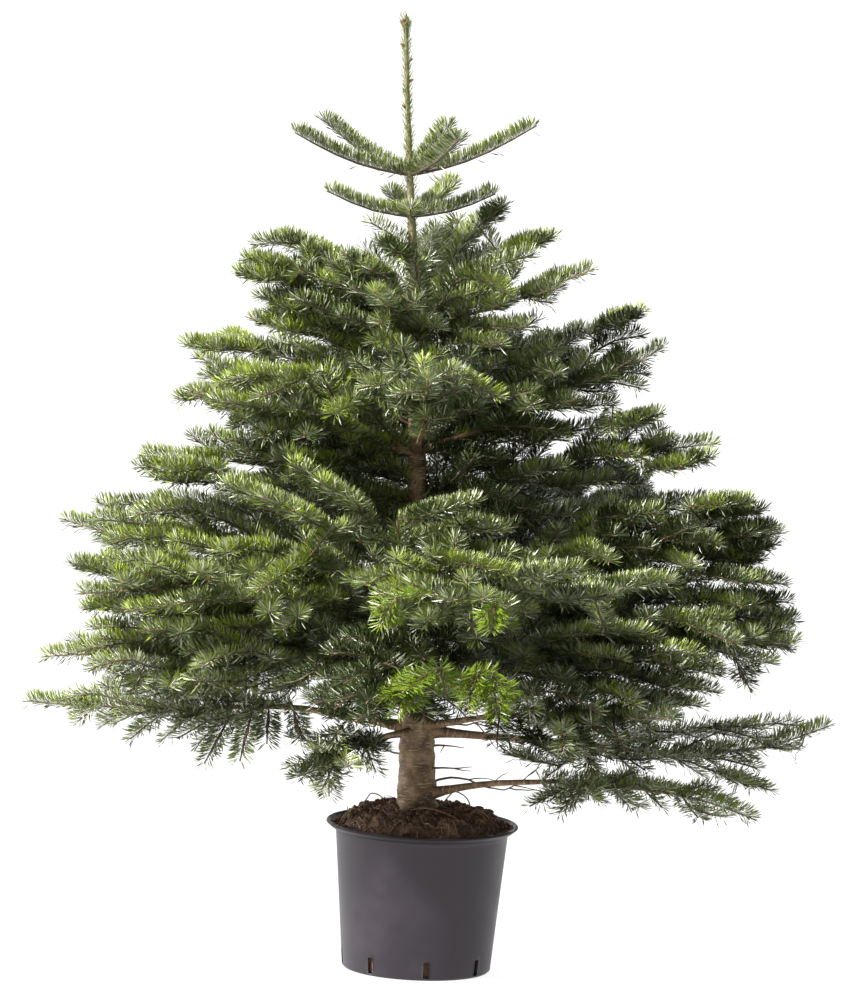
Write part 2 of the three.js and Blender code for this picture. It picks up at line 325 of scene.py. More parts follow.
def tangentsOf(path):
    return units(np.gradient(path, axis=0))


def lengthsOf(path):
    return np.concatenate([[0.0], np.cumsum(np.linalg.norm(np.diff(path, axis=0), axis=1))])


def alongPath(path, lengths, at):
    at = np.atleast_1d(at)
    return np.stack([np.interp(at, lengths, path[:, k]) for k in range(3)], axis=1)


def framesOf(path):
    # tangent, side and upper direction at each point
    tangent = tangentsOf(path)
    lean = np.where(np.abs(tangent[:, 2:3]) > 0.96, np.array([[1.0, 0.0, 0.0]]), upward)
    side = units(np.cross(tangent, lean))
    return tangent, side, np.cross(side, tangent)


def bandTriangles(rings, sides):
    # two triangles to each side between rings that follow each other
    ring = np.arange(sides)
    following = (ring + 1) % sides
    faces = []
    for k in range(rings - 1):
        low, high = k * sides, (k + 1) * sides
        faces.append(np.stack([low + ring, low + following, high + following], axis=1))
        faces.append(np.stack([low + ring, high + following, high + ring], axis=1))
    return np.concatenate(faces)


def tubeTriangles(rings, sides):
    # the bands of a tube and its closed tip
    last = (rings - 1) * sides + np.arange(sides)
    following = (rings - 1) * sides + (np.arange(sides) + 1) % sides
    tip = np.full(sides, rings * sides)
    return np.concatenate([bandTriangles(rings, sides), np.stack([last, following, tip], axis=1)])


def ringAt(reach, angle, height):
    heights = np.broadcast_to(height, angle.shape)
    return np.column_stack([reach * np.cos(angle), reach * np.sin(angle), heights])


def bearing(angle, rise=0.0):
    return np.array([math.cos(angle), math.sin(angle), rise])


class Gathered:
    # points, triangles, material slots and bark places of many small things
    def __init__(self):
        self.starts = []
        self.points = []
        self.triangles = []
        self.slots = []
        self.places = []
        self.count = 0

    def add(self, points, triangles, slots=None, places=None):
        self.starts.append(self.count)
        self.points.append(points)
        self.triangles.append(triangles + self.count)
        if slots is not None:
            self.slots.append(slots)
        if places is not None:
            self.places.append(places)
        self.count += len(points)

    def addTube(self, path, radii, sides, slot=0, relief=None):
        tangent, side, up = framesOf(path)
        angle = np.arange(sides) * (2 * math.pi / sides)
        lengths = lengthsOf(path)
        ringSide = side[:, None, :] * np.cos(angle)[None, :, None]
        ringUp = up[:, None, :] * np.sin(angle)[None, :, None]
        reach = np.repeat(np.asarray(radii)[:, None], sides, axis=1)
        if relief is not None:
            reach = reach + relief(lengths, angle, reach)
        points = (path[:, None, :] + (ringSide + ringUp) * reach[:, :, None]).reshape(-1, 3)
        points = np.concatenate([points, path[-1:] + tangent[-1:] * radii[-1]])
        straight = np.stack([reach * np.cos(angle), reach * np.sin(angle),
                             np.repeat(lengths[:, None], sides, axis=1)], axis=2).reshape(-1, 3)
        straight = np.concatenate([straight, [[0.0, 0.0, lengths[-1]]]])
        triangles = tubeTriangles(len(path), sides)
        self.add(points, triangles, np.full(len(triangles), slot), straight)

    def triangleCount(self):
        return sum(len(t) for t in self.triangles)

    def piece(self, name, materials, smooth=True):
        places = np.concatenate(self.places) if self.places else None
        slots = np.concatenate(self.slots) if self.slots else None
        return joinedPiece(name, np.concatenate(self.points), np.concatenate(self.triangles),
                           materials, slots, places, smooth)


def finishPiece(piece, slotName, *nodes):
    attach(piece, "root")
    if nodes:
        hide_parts(*nodes)
    return piece


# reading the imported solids

def nodePoints(name):
    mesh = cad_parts[name].data
    points = np.empty(len(mesh.vertices) * 3, np.float32)
    mesh.vertices.foreach_get("co", points)
    return points.reshape(-1, 3).astype(float)


def nodeTree(name):
    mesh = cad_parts[name].data
    faces = [tuple(p.vertices) for p in mesh.polygons]
    return BVHTree.FromPolygons([v.co[:] for v in mesh.vertices], faces)


def trunkRings():
    points = nodePoints("trunk")
    heights = np.round(points[:, 2], 4)
    rings = []
    for height in np.unique(heights):
        ring = points[heights == height]
        centre = ring[:, :2].mean(axis=0)
        radius = np.linalg.norm(ring[:, :2] - centre, axis=1).max()
        if radius > 0.001:
            rings.append((height, centre[0], centre[1], radius))
    return np.array(rings)


trunkLine = trunkRings()


def trunkAt(height):
    return np.array([np.interp(height, trunkLine[:, 0], trunkLine[:, k]) for k in (1, 2)])


def onTrunk(height):
    return np.array([*trunkAt(height), height])


def trunkDistance(place):
    return np.linalg.norm(place[:2] - trunkAt(place[2]))


def trunkRadius(height):
    return float(np.interp(height, trunkLine[:, 0], trunkLine[:, 3]))


def depthIn(tree, place):
    # how deep a point lies in a solid, negative outside it
    distance = tree.find_nearest(Vector(place))[3]
    hit = tree.ray_cast(Vector(place), Vector(upward))
    return distance if hit[0] is not None and hit[1].z > 0 else -distance


def roomAhead(tree, place, heading, most):
    # how far a twig can grow before it leaves the solid
    if tree is None:
        return most
    hit = tree.ray_cast(Vector(place), Vector(heading), most)
    return hit[3] if hit[0] is not None else most


limbReading = {
    "slices": 14,
    "sliceFrom": 0.01,  # in from the trunk
    "sliceTo": 0.02,  # and in from the tip
    "tipMargin": 0.012,  # needles reach on past the end of the axis
    "step": 0.02,
    "softened": 4,
    "rootBand": 0.006,  # points this near the innermost one belong to the root
    "endBand": 0.03,
    "middleFrom": 0.02,
    "innerReach": 0.05,
    "shootRadius": 0.006,
    "leastRadius": 0.004,
    "bareShare": 0.9,
    "sweep": {"low_limb_2_foliage": 0.019},  # how far a limb dips at its foot
    "sweepTo": 0.30,
    "sag": {"low_limb_1_foliage": 0.013},  # and how far its outer half hangs
    "sagFrom": 0.45,
}


def sliceCentres(name, root, outward, tipReach, count):
    # middle of the mass in slices across its bough
    points = nodePoints(name)
    reach = (points[:, :2] - root[:2]) @ outward[:2]
    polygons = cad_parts[name].data.polygons
    faces = np.array([tuple(p.vertices) for p in polygons if len(p.vertices) == 3])
    edges = np.concatenate([faces[:, [0, 1]], faces[:, [1, 2]], faces[:, [2, 0]]])
    near, far = edges[:, 0], edges[:, 1]
    low = max(reach.min(), 0.0)
    centres = []
    for at in np.linspace(low + limbReading["sliceFrom"], tipReach - limbReading["sliceTo"], count):
        crossing = (reach[near] - at) * (reach[far] - at) < 0
        a, b = near[crossing], far[crossing]
        if len(a) < 3:
            continue
        share = ((at - reach[a]) / (reach[b] - reach[a]))[:, None]
        cut = points[a] + (points[b] - points[a]) * share
        centres.append((cut.min(axis=0) + cut.max(axis=0)) / 2)
    return np.array(centres)


def smoothLine(points, step):
    # an even, softened line through rough points
    lengths = lengthsOf(points)
    count = max(4, int(lengths[-1] / step) + 1)
    line = alongPath(points, lengths, np.linspace(0, lengths[-1], count))
    for _ in range(limbReading["softened"]):
        line[1:-1] = (line[:-2] + 2 * line[1:-1] + line[2:]) / 4
    return line


def dipped(line, massName):
    # the line with the dip at its foot and the hang of its outer half
    share = lengthsOf(line) / lengthsOf(line)[-1]
    inner = np.clip(1 - share / limbReading["sweepTo"], 0, 1)
    outer = np.clip((share - limbReading["sagFrom"]) / (1 - limbReading["sagFrom"]), 0, 1)
    line[:, 2] -= limbReading["sweep"].get(massName, 0.0) * inner ** 2
    line[:, 2] -= limbReading["sag"].get(massName, 0.0) * np.sin(math.pi * outer)
    return line


def readLimb(massName, boughName=None):
    mass = nodePoints(massName)
    centre = trunkAt(mass[:, 2].mean())
    off = np.linalg.norm(mass[:, :2] - centre, axis=1)
    tip = mass[np.argmax(off)]
    if boughName:
        wood = nodePoints(boughName)
        away = np.linalg.norm(wood[:, :2] - trunkAt(wood[:, 2].mean()), axis=1)
        rootRing = wood[away < away.min() + limbReading["rootBand"]][:, 2]
        rootHeight, rootRadius, bareTo = rootRing.mean(), np.ptp(rootRing) / 2, away.max()
    else:
        inner = mass[off < limbReading["innerReach"]]
        rootHeight = inner[:, 2].mean() if len(inner) else mass[:, 2].mean()
        rootRadius, bareTo = limbReading["shootRadius"], 0.0
    root = onTrunk(rootHeight)
    outward = unit(np.array([tip[0] - root[0], tip[1] - root[1], 0.0]))
    tipReach = (tip - root) @ outward
    rough = [root]
    if boughName:
        endFrom = away.max() - limbReading["endBand"]
        middle = wood[(away > away.min() + limbReading["middleFrom"]) & (away < endFrom)]
        if len(middle):
            rough.append(middle.mean(axis=0))
        rough.append(wood[away > endFrom].mean(axis=0))
    centres = sliceCentres(massName, root, outward, tipReach, limbReading["slices"])
    startFrom = (rough[-1] - root) @ outward + limbReading["step"]
    rough += [c for c in centres if (c - root) @ outward > startFrom]
    rough.append(tip - outward * limbReading["tipMargin"])
    return {
        "name": massName,
        "tree": nodeTree(massName),
        "line": dipped(smoothLine(np.array(rough), limbReading["step"]), massName),
        "reach": tipReach,
        "bareTo": bareTo * limbReading["bareShare"],
        "rootRadius": max(rootRadius, limbReading["leastRadius"]),
        "outward": outward,
        "centre": mass.mean(axis=0),
    }


def readLimbs():
    limbs = []
    for name in sorted(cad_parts):
        if "_foliage" in name:
            limbs.append(readLimb(name, name.replace("foliage", "bough")))
        elif name.startswith("middle_shoot"):
            limbs.append(readLimb(name))
    return limbs


youngReading = {
    "apart": {"top_shoots": 0.09, "upper_shoots": 0.045},  # distance from the trunk that parts the shoots
    "gap": 8.0,  # degrees between two shoots
    "centreRise": 0.005,
    "rootRise": 0.008,
    "sag": -0.06,
    "points": 12,
}


def readYoung():
    # each arm of a star of young shoots, as a line from the trunk to its tip
    lines = {}
    for name, apart in youngReading["apart"].items():
        points = nodePoints(name)
        height = points[:, 2].min()
        centre = trunkAt(height + youngReading["centreRise"])
        off = points[:, :2] - centre
        away = np.linalg.norm(off, axis=1)
        far = np.flatnonzero(away > apart)
        angle = np.degrees(np.arctan2(off[far, 1], off[far, 0]))
        order = np.argsort(angle)
        far, angle = far[order], angle[order]
        groups = np.split(far, np.flatnonzero(np.diff(angle) > youngReading["gap"]) + 1)
        if len(groups) > 1 and angle[0] + 360 - angle[-1] < youngReading["gap"]:
            groups[0] = np.concatenate([groups[-1], groups[0]])
            groups.pop()
        root = np.array([*centre, height + youngReading["rootRise"]])
        share = np.linspace(0, 1, youngReading["points"])[:, None]
        for group in groups:
            tip = points[group[np.argmax(away[group])]]
            sag = np.array([0, 0, youngReading["sag"]]) * np.linalg.norm(tip - root)
            line = root + (tip - root) * share + sag * np.sin(math.pi * share)
            lines.setdefault(name, []).append(line)
    return lines


limbs = readLimbs()
youngLines = readYoung()
print("limbs", len(limbs), "young shoots", sum(len(lines) for lines in youngLines.values()))

# growing the twigs

growth = {
    "seed": 20,
    "year": 0.112,  # last year's length at the tip of a limb
    "yearSpread": (0.85, 1.15),
    "yearDrift": (0.92, 1.08),  # from one year's length to the next
    "sideAngle": (50.0, 5.0),  # degrees: middle and spread
    "share": (0.70, 0.62, 0.56, 0.5),  # length of a side twig against what is left of its parent
    "shortest": 0.026,
    "margin": 0.008,
    "tilt": 16.0,  # degrees up or down out of the fan
    "forward": 0.28,  # how much a side twig swings back to its parent's heading
    "rise": (-0.05, -0.30, 0.0, 0.12),  # low twigs droop
    "riseHeights": (0.33, 0.38, 0.52, 0.70),
    "riseSpread": (0.4, 1.6),
    "orders": 4,
    "nearest": 0.018,  # no side twig closer to the foot
    "wantedSpread": (0.82, 1.1),
    "betweenShare": 0.55,  # small twigs between two years' nodes
    "betweenLost": 0.35,
    "uprights": ((1, 0.34), (-1, 0.26)),  # short twigs above and below a limb: hand and length
    "uprightChance": 0.7,
    "uprightSpread": (0.7, 1.2),
    "uprightLean": (0.6, 0.9),
    "uprightLeast": 0.02,
    "gap": 0.037,  # farthest a point of the mass may lie from a twig
    "trim": 0.006,
    # masses that hold their twigs closer
    "close": {"low_limb_2_foliage": 0.2, "low_limb_1_foliage": 0.2, "whorl_5_foliage_1": 0.0},
    "gapTries": 3000,
    "beyond": 0.032,  # how far twigs spread out of their mass near the trunk
    "beyondAtTip": 0.006,
    "beyondShares": (0.3, 0.95),  # of the way from the trunk to the tip
    "fullerShares": (0.75, 0.95),
    "fullerAtTip": 0.3,
    # masses with wider or narrower gaps, and masses whose twigs spread farther
    "open": {"whorl_5_foliage_2": 1.7, "whorl_1_foliage_4": 1.25, "whorl_5_foliage_1": 0.85,
             "whorl_1_foliage_1": 1.45, "whorl_2_foliage_1": 1.1},
    "fuller": {"whorl_3_foliage_1": 0.028, "whorl_4_foliage_1": 0.02, "whorl_1_foliage_3": 0.024,
               "middle_shoot_1": 0.02, "whorl_5_foliage_3": 0.03, "whorl_4_foliage_5": 0.02},
    "sampleDepth": 0.008,
    "gapReach": 0.13,
    "gapReachShare": 1.3,
    "gapOutward": 0.7,  # how much the twigs that fill gaps keep level and run outwards
    "gapLevel": 1.4,
    "gapAside": 2.0,
    "gapFar": 4.0,
    "gapNever": -9.0,
    "gapLowHeights": (0.42, 0.54),
    "gapDroop": 0.4,
    "foot": 0.0013,
    "taper": 0.0062,
}
dice = np.random.default_rng(growth["seed"])


def keepTwig(path, order, limb, bare=0.0):
    twig = {"path": path, "lengths": lengthsOf(path), "order": order, "limb": limb, "bare": bare}
    limb["twigs"].append(twig)
    return twig


def bentPath(foot, heading, parentHeading, length, rise):
    count = max(3, int(length / 0.016) + 1)
    share = np.linspace(0, 1, count)[:, None]
    headings = units(heading + parentHeading * growth["forward"] * share + upward * rise * share)
    steps = headings[:-1] * (length / (count - 1))
    return np.concatenate([[foot], foot + np.cumsum(steps, axis=0)])


def yearNodes(total):
    # distances back from the tip to the yearly nodes
    back, year, nodes = 0.0, growth["year"] * dice.uniform(*growth["yearSpread"]), []
    while back + year < total:
        back += year
        nodes.append(back)
        year *= dice.uniform(*growth["yearDrift"])
    return nodes


def beyondAt(limb, place):
    share = trunkDistance(place) / limb["reach"]
    spread = float(np.interp(share, growth["beyondShares"], (growth["beyond"], growth["beyondAtTip"])))
    spread *= growth["close"].get(limb["name"], 1.0)
    fuller = float(np.interp(share, growth["fullerShares"], (1.0, growth["fullerAtTip"])))
    return max(spread, growth["fuller"].get(limb["name"], 0.0) * fuller)


def sideTwig(limb, foot, parentHeading, fanUp, side, wanted, order):
    angle = math.radians(dice.normal(*growth["sideAngle"]))
    tilt = math.radians(dice.uniform(-growth["tilt"], growth["tilt"]))
    heading = turned(parentHeading, fanUp, side * angle)
    heading = unit(heading + fanUp * math.tan(tilt))
    room = roomAhead(limb["tree"], foot, heading, wanted + 0.1)
    length = min(wanted, room - growth["margin"] + beyondAt(limb, foot))
    if length < growth["shortest"]:
        return
    rise = np.interp(foot[2], growth["riseHeights"], growth["rise"]) * dice.uniform(*growth["riseSpread"])
    path = bentPath(foot, heading, parentHeading, length, rise)
    growAlong(limb, path, order, fanUp)


def growAlong(limb, path, order, fanUp, bare=0.0):
    lengths = keepTwig(path, order, limb, bare)["lengths"]
    if order >= growth["orders"]:
        return
    nodes = yearNodes(lengths[-1])
    between = [back - growth["year"] * 0.5 for back in nodes[1:]]
    for back, small in [(b, False) for b in nodes] + [(b, True) for b in between]:
        at = lengths[-1] - back
        if at < max(bare, growth["nearest"]):
            continue
        foot, ahead = alongPath(path, lengths, (at, at + 0.01))
        heading = unit(ahead - foot)
        side = unit(np.cross(heading, fanUp))
        flat = unit(np.cross(side, heading))
        for hand in (-1, 1):
            if small and dice.random() < growth["betweenLost"]:
                continue
            wanted = growth["share"][min(order, 3)] * back * dice.uniform(*growth["wantedSpread"])
            wanted *= growth["betweenShare"] if small else 1.0
            sideTwig(limb, foot, heading, flat, hand, wanted, order + 1)
        if order > 0:
            continue
        for hand, part in growth["uprights"]:
            if dice.random() < growth["uprightChance"]:
                wanted = part * back * dice.uniform(*growth["uprightSpread"]) + growth["uprightLeast"]
                lean = hand * dice.uniform(*growth["uprightLean"])
                sideTwig(limb, foot, heading, side, lean, wanted, order + 2)


def insideSamples(limb, count):
    points = nodePoints(limb["name"])
    low, high = points.min(axis=0) - growth["beyond"], points.max(axis=0) + growth["beyond"]
    found = []
    for _ in range(count):
        place = dice.uniform(low, high)
        if depthIn(limb["tree"], place) > growth["sampleDepth"] - beyondAt(limb, place):
            found.append(place)
    return found


def fillGaps(limb):
    # twigs towards the parts of the mass that nothing has reached
    cloud = np.concatenate([t["path"] for t in limb["twigs"]])
    headings = np.concatenate([tangentsOf(t["path"]) for t in limb["twigs"]])
    sideways = 0.5 + 0.5 * abs(limb["outward"][0])
    added = 0
    for place in insideSamples(limb, growth["gapTries"]):
        toPlace = place - cloud
        distance = np.linalg.norm(toPlace, axis=1)
        if distance.min() < growth["gap"] * growth["open"].get(limb["name"], 1.0):
            continue
        near = distance < max(growth["gapReach"], distance.min() * growth["gapReachShare"])
        aim = toPlace / distance[:, None]
        lean = np.einsum("ij,ij->i", aim, headings)
        droop = np.interp(place[2], growth["gapLowHeights"], (1.0, 0.0)) * growth["gapDroop"]
        level = -growth["gapAside"] * np.abs(aim @ limb["outward"] - sideways)
        level -= np.abs(aim[:, 2] + droop) * growth["gapLevel"]
        score = lean + growth["gapOutward"] * level - distance * growth["gapFar"]
        best = int(np.argmax(np.where(near, score, growth["gapNever"])))
        length = distance[best]
        share = np.linspace(0, 1, max(4, int(length / 0.014)))[:, None]
        bend = headings[best] * length * (share - share ** 2) * 0.5
        path = cloud[best] + bend + toPlace[best] * share
        keepTwig(path, 3, limb)
        cloud = np.concatenate([cloud, path])
        headings = np.concatenate([headings, tangentsOf(path)])
        added += 1
    return added


def trimTwigs(limb):
    # twigs end where they leave their mass
    kept = []
    for twig in limb["twigs"]:
        path = twig["path"]
        outside = [depthIn(limb["tree"], p) < -beyondAt(limb, p) - growth["trim"] for p in path]
        count = outside.index(True) if any(outside) and twig["order"] > 0 else len(path)
        if count >= 3:
            twig["path"] = path[:count]
            twig["lengths"] = lengthsOf(path[:count])
            kept.append(twig)
    limb["twigs"] = kept


def growLimbs():
    added = 0
    for limb in limbs:
        limb["twigs"] = []
        fanUp = unit(upward - limb["outward"] * 0.1)
        growAlong(limb, limb["line"], 0, fanUp, bare=limb["bareTo"])
        trimTwigs(limb)
        added += fillGaps(limb)
    return added


innerShoots = [
    # heights on the trunk, shoots, shortest and longest, rise
    {"heights": (1.030, 1.140), "count": 5, "length": (0.07, 0.12), "rise": (0.35, 0.7)},
    {"heights": (0.840, 0.980), "count": 15, "length": (0.14, 0.24), "rise": (0.25, 0.5)},
    {"heights": (0.640, 0.780), "count": 17, "length": (0.18, 0.32), "rise": (0.12, 0.35)},
    {"heights": (0.440, 0.580), "count": 15, "length": (0.18, 0.34), "rise": (0.05, 0.25)},
]
innerSet = {
    "azimuth": 250.0,  # degrees
    "zoneTurn": 40,
    "turn": 137.5,
    "turnSpread": 14,
    "points": 12,
    "curve": 0.85,
    "reach": 0.5,
    "bare": 0.012,  # past the bark
}


def growInner():
    # small boughs between the whorls, spiralling up the trunk
    share = np.linspace(0, 1, innerSet["points"])[:, None]
    for zone, settings in enumerate(innerShoots):
        azimuth = innerSet["azimuth"] + innerSet["zoneTurn"] * zone
        for i in range(settings["count"]):
            height = np.interp(i + dice.uniform(0, 0.8), (0, settings["count"]), settings["heights"])
            azimuth += innerSet["turn"] + dice.uniform(-innerSet["turnSpread"], innerSet["turnSpread"])
            outward = bearing(math.radians(azimuth))
            length = dice.uniform(*settings["length"])
            rise = dice.uniform(*settings["rise"])
            lift = upward * length * rise * share ** innerSet["curve"]
            limb = {"name": "inner", "twigs": [], "reach": innerSet["reach"], "tree": None}
            limbs.append(limb)
            growAlong(limb, onTrunk(height) + outward * length * share + lift, 1,
                      unit(upward - outward * rise), bare=trunkRadius(height) + innerSet["bare"])


def growYoung():
    for name, lines in youngLines.items():
        for line in lines:
            limb = {"name": name, "twigs": [], "reach": np.linalg.norm(line[-1] - line[0])}
            limbs.append(limb)
            keepTwig(line, 0, limb, bare=trunkRadius(line[0][2]))["comb"] = True


vividSprays = {
    # foot and tip of the flat sprays that hang in front of the trunk
    "whorl_4_foliage_5": [
        ((0.015, -0.5, 0.55), (-0.07, -0.52, 0.5)),
        ((-0.025, -0.5, 0.54), (-0.045, -0.52, 0.48)),
        ((0.095, -0.48, 0.545), (0.105, -0.505, 0.48)),
        ((0.075, -0.48, 0.545), (0.06, -0.505, 0.495)),
    ],
    "whorl_3_foliage_6": [
        ((-0.055, -0.52, 0.655), (-0.075, -0.535, 0.615)),
        ((0.095, -0.515, 0.655), (0.09, -0.53, 0.615)),
    ],
}
shadedSprays = {
    # and of those under the lowest limbs and beside the pot
    "whorl_5_foliage_2": [
        ((-0.13, -0.2, 0.41), (-0.17, -0.225, 0.35)),
        ((-0.15, -0.215, 0.37), (-0.145, -0.24, 0.305)),
        ((-0.105, -0.18, 0.4), (-0.075, -0.205, 0.34)),
    ],
    "whorl_5_foliage_1": [
        ((-0.305, -0.17, 0.41), (-0.34, -0.195, 0.34)),
        ((-0.27, -0.19, 0.425), (-0.285, -0.22, 0.35)),
        ((-0.21, -0.19, 0.44), (-0.19, -0.22, 0.385)),
        ((-0.245, -0.17, 0.435), (-0.245, -0.195, 0.375)),
        ((-0.345, -0.15, 0.42), (-0.385, -0.17, 0.395)),
    ],
    "low_limb_2_foliage": [
        ((0.235, -0.16, 0.33), (0.165, -0.185, 0.295)),
        ((0.25, -0.18, 0.335), (0.21, -0.205, 0.29)),
    ],
    "low_limb_1_foliage": [
        ((0.205, -0.12, 0.35), (0.12, -0.14, 0.37)),
    ],
}
tipShoots = {
    # level shoots that carry the outline past the rounded ends of the masses
    "whorl_2_foliage_1": [
        ((0.225, 0.02, 1.01), (0.31, 0.025, 1.05)),
        ((0.265, -0.06, 0.87), (0.34, -0.07, 0.9)),
    ],
    "middle_shoot_1": [
        ((0.315, -0.05, 0.805), (0.425, -0.055, 0.835)),
    ],
    "whorl_3_foliage_1": [
        ((0.395, -0.14, 0.665), (0.54, -0.16, 0.655)),
        ((0.43, -0.1, 0.685), (0.505, -0.115, 0.685)),
        ((0.39, -0.14, 0.765), (0.485, -0.16, 0.78)),
        ((0.405, -0.12, 0.75), (0.505, -0.14, 0.765)),
        ((0.43, -0.12, 0.715), (0.52, -0.14, 0.74)),
        ((0.445, -0.1, 0.685), (0.525, -0.115, 0.71)),
    ],
    "whorl_4_foliage_1": [
        ((0.405, -0.12, 0.615), (0.55, -0.14, 0.625)),
        ((0.29, -0.16, 0.505), (0.445, -0.185, 0.485)),
        ((0.295, -0.18, 0.475), (0.42, -0.205, 0.465)),
        ((0.435, -0.12, 0.565), (0.55, -0.14, 0.58)),
        ((0.24, -0.33, 0.655), (0.36, -0.38, 0.68)),
        ((0.165, -0.36, 0.64), (0.275, -0.42, 0.66)),
        ((0.485, -0.05, 0.59), (0.565, -0.06, 0.585)),
        ((0.485, -0.05, 0.56), (0.56, -0.06, 0.54)),
    ],
    "middle_shoot_2": [
        ((-0.345, -0.06, 0.78), (-0.465, -0.07, 0.78)),
        ((-0.35, 0.02, 0.75), (-0.45, 0.025, 0.755)),
    ],
    "whorl_2_foliage_4": [
        ((-0.3, 0.02, 0.96), (-0.405, 0.025, 0.965)),
        ((-0.335, -0.03, 0.9), (-0.41, -0.035, 0.885)),
    ],
    "whorl_1_foliage_3": [
        ((-0.18, -0.02, 0.99), (-0.3, -0.025, 1.015)),
        ((-0.23, 0.0, 1.09), (-0.315, 0.0, 1.105)),
        ((-0.24, -0.03, 1.075), (-0.325, -0.035, 1.085)),
        ((-0.2, 0.0, 1.08), (-0.22, 0.0, 1.135)),
        ((-0.2, -0.03, 1.025), (-0.275, -0.035, 1.045)),
    ],
    "whorl_3_foliage_5": [
        ((-0.46, -0.2, 0.625), (-0.555, -0.23, 0.645)),
        ((-0.455, -0.22, 0.59), (-0.53, -0.255, 0.58)),
        ((-0.16, -0.28, 0.72), (-0.265, -0.32, 0.775)),
        ((-0.21, -0.24, 0.74), (-0.325, -0.27, 0.785)),
        ((-0.1, -0.26, 0.735), (-0.18, -0.31, 0.8)),
        ((-0.14, -0.22, 0.76), (-0.225, -0.26, 0.82)),
    ],
    "whorl_1_foliage_1": [
        ((0.08, 0.02, 1.13), (0.165, 0.025, 1.16)),
        ((0.045, 0.03, 1.17), (0.085, 0.035, 1.205)),
    ],
    "whorl_1_foliage_4": [
        ((-0.05, -0.1, 1.12), (-0.11, -0.115, 1.155)),
        ((-0.075, -0.1, 1.085), (-0.16, -0.115, 1.13)),
        ((-0.11, -0.07, 1.07), (-0.185, -0.08, 1.115)),
    ],
    "whorl_4_foliage_5": [
        ((-0.17, -0.22, 0.445), (-0.095, -0.255, 0.42)),
    ],
    "low_limb_1_foliage": [
        ((0.43, -0.1, 0.355), (0.54, -0.115, 0.325)),
    ],
    "whorl_3_foliage_6": [
        ((-0.06, -0.28, 0.74), (0.06, -0.32, 0.78)),
        ((0.11, -0.42, 0.675), (0.22, -0.45, 0.7)),
    ],
}
hangSet = {
    "sides": (0.35, 0.6, 0.8),  # where the side twigs of a spray stand, back from its tip
    "share": 0.62,
    "angle": 48.0,
    "steep": 0.6,
    "joined": 0.006,  # a foot farther than this from its limb gets a twig that leads to it
    "out": 0.55,
    "crowd": {"vivid": 0.62, "shaded": 0.36},  # needles against those of other twigs
    "heights": (0.34, 0.62),  # limbs whose masses lie between these carry more of them
    "each": 3,
    "below": 0.005,
    "reach": (0.50, 0.90),
    "lengths": (0.035, 0.060),
}


def moreHanging():
    # further places under the low limbs
    found = {}
    for limb in limbs:
        lowest, highest = hangSet["heights"]
        placed = limb["name"] in vividSprays or limb["name"] in shadedSprays
        if "line" not in limb or placed or not lowest < limb["centre"][2] < highest:
            continue
        cloud = np.concatenate([t["path"] for t in limb["twigs"]])
        reach = (cloud[:, :2] - limb["line"][0][:2]) @ limb["outward"][:2]
        low, high = np.array(hangSet["reach"]) * limb["reach"]
        below = cloud[:, 2] < limb["centre"][2] - hangSet["below"]
        under = np.flatnonzero((reach > low) & (reach < high) & below)
        heading = unit(limb["outward"] * hangSet["out"] - upward)
        chosen = dice.choice(under, min(len(under), hangSet["each"]), replace=False)
        found[limb["name"]] = [(cloud[k], cloud[k] + heading * dice.uniform(*hangSet["lengths"]))
                               for k in chosen]
    return found


def growSpray(limb, foot, end, kind):
    length = np.linalg.norm(end - foot)
    heading = (end - foot) / length
    level = abs(heading[2]) < hangSet["steep"]
    side = unit(np.cross(heading, upward if level else limb["outward"]))
    cloud = np.concatenate([t["path"] for t in limb["twigs"]])
    nearest = cloud[np.argmin(np.linalg.norm(cloud - foot, axis=1))]
    paths = [bentPath(foot, heading, heading, length, 0.0)]
    for share in hangSet["sides"]:
        for hand in (-1, 1):
            turn = math.radians(hangSet["angle"]) * hand
            away = unit(heading * math.cos(turn) + side * math.sin(turn))
            start = foot + heading * length * (1 - share)
            paths.append(bentPath(start, away, heading, length * share * hangSet["share"], 0.0))
    if np.linalg.norm(foot - nearest) > hangSet["joined"]:
        paths.append(np.linspace(nearest, foot, 6))
    for path in paths:
        twig = keepTwig(path, 3, limb)
        if kind:
            twig["kind"] = kind


def growSprays():
    named = {limb["name"]: limb for limb in limbs}
    kinds = [(vividSprays, "vivid"), (shadedSprays, "shaded"), (moreHanging(), "shaded")]
    for sprays, kind in kinds + [(tipShoots, None)]:
        for name, places in sprays.items():
            for foot, end in places:
                growSpray(named[name], np.array(foot), np.array(end), kind)


trunkWindow = {
    # an opening in the front of the crown through which the trunk shows
    "heights": (0.762, 0.858),
    "halfWidth": 0.045,
    "sight": 0.12,  # it rises this much for each metre towards the front
    "behind": -0.03,
    "hold": 0.03,  # a twig stays while its foot is this near another
}


def inWindow(place):
    level = place[2] + trunkWindow["sight"] * place[1]
    low, high = trunkWindow["heights"]
    across = abs(place[0] - trunkAt(level)[0])
    return low < level < high and place[1] < trunkWindow["behind"] and across < trunkWindow["halfWidth"]


def openWindow():
    # twigs end where they would cross the opening, and small boughs that cross it are left out
    for limb in limbs:
        kept = []
        for twig in limb["twigs"]:
            crossing = [inWindow(place) for place in twig["path"]]
            count = crossing.index(True) if any(crossing) else len(crossing)
            if limb["name"] == "inner" and count < len(crossing):
                kept = []
                break
            if count >= 3 or twig["order"] == 0:
                if twig["order"] > 0:
                    twig["path"] = twig["path"][:count]
                    twig["lengths"] = lengthsOf(twig["path"])
                kept.append(twig)
        cut = len(kept) < len(limb["twigs"])
        limb["twigs"] = [twig for twig in kept if not cut or isHeld(twig, kept)]


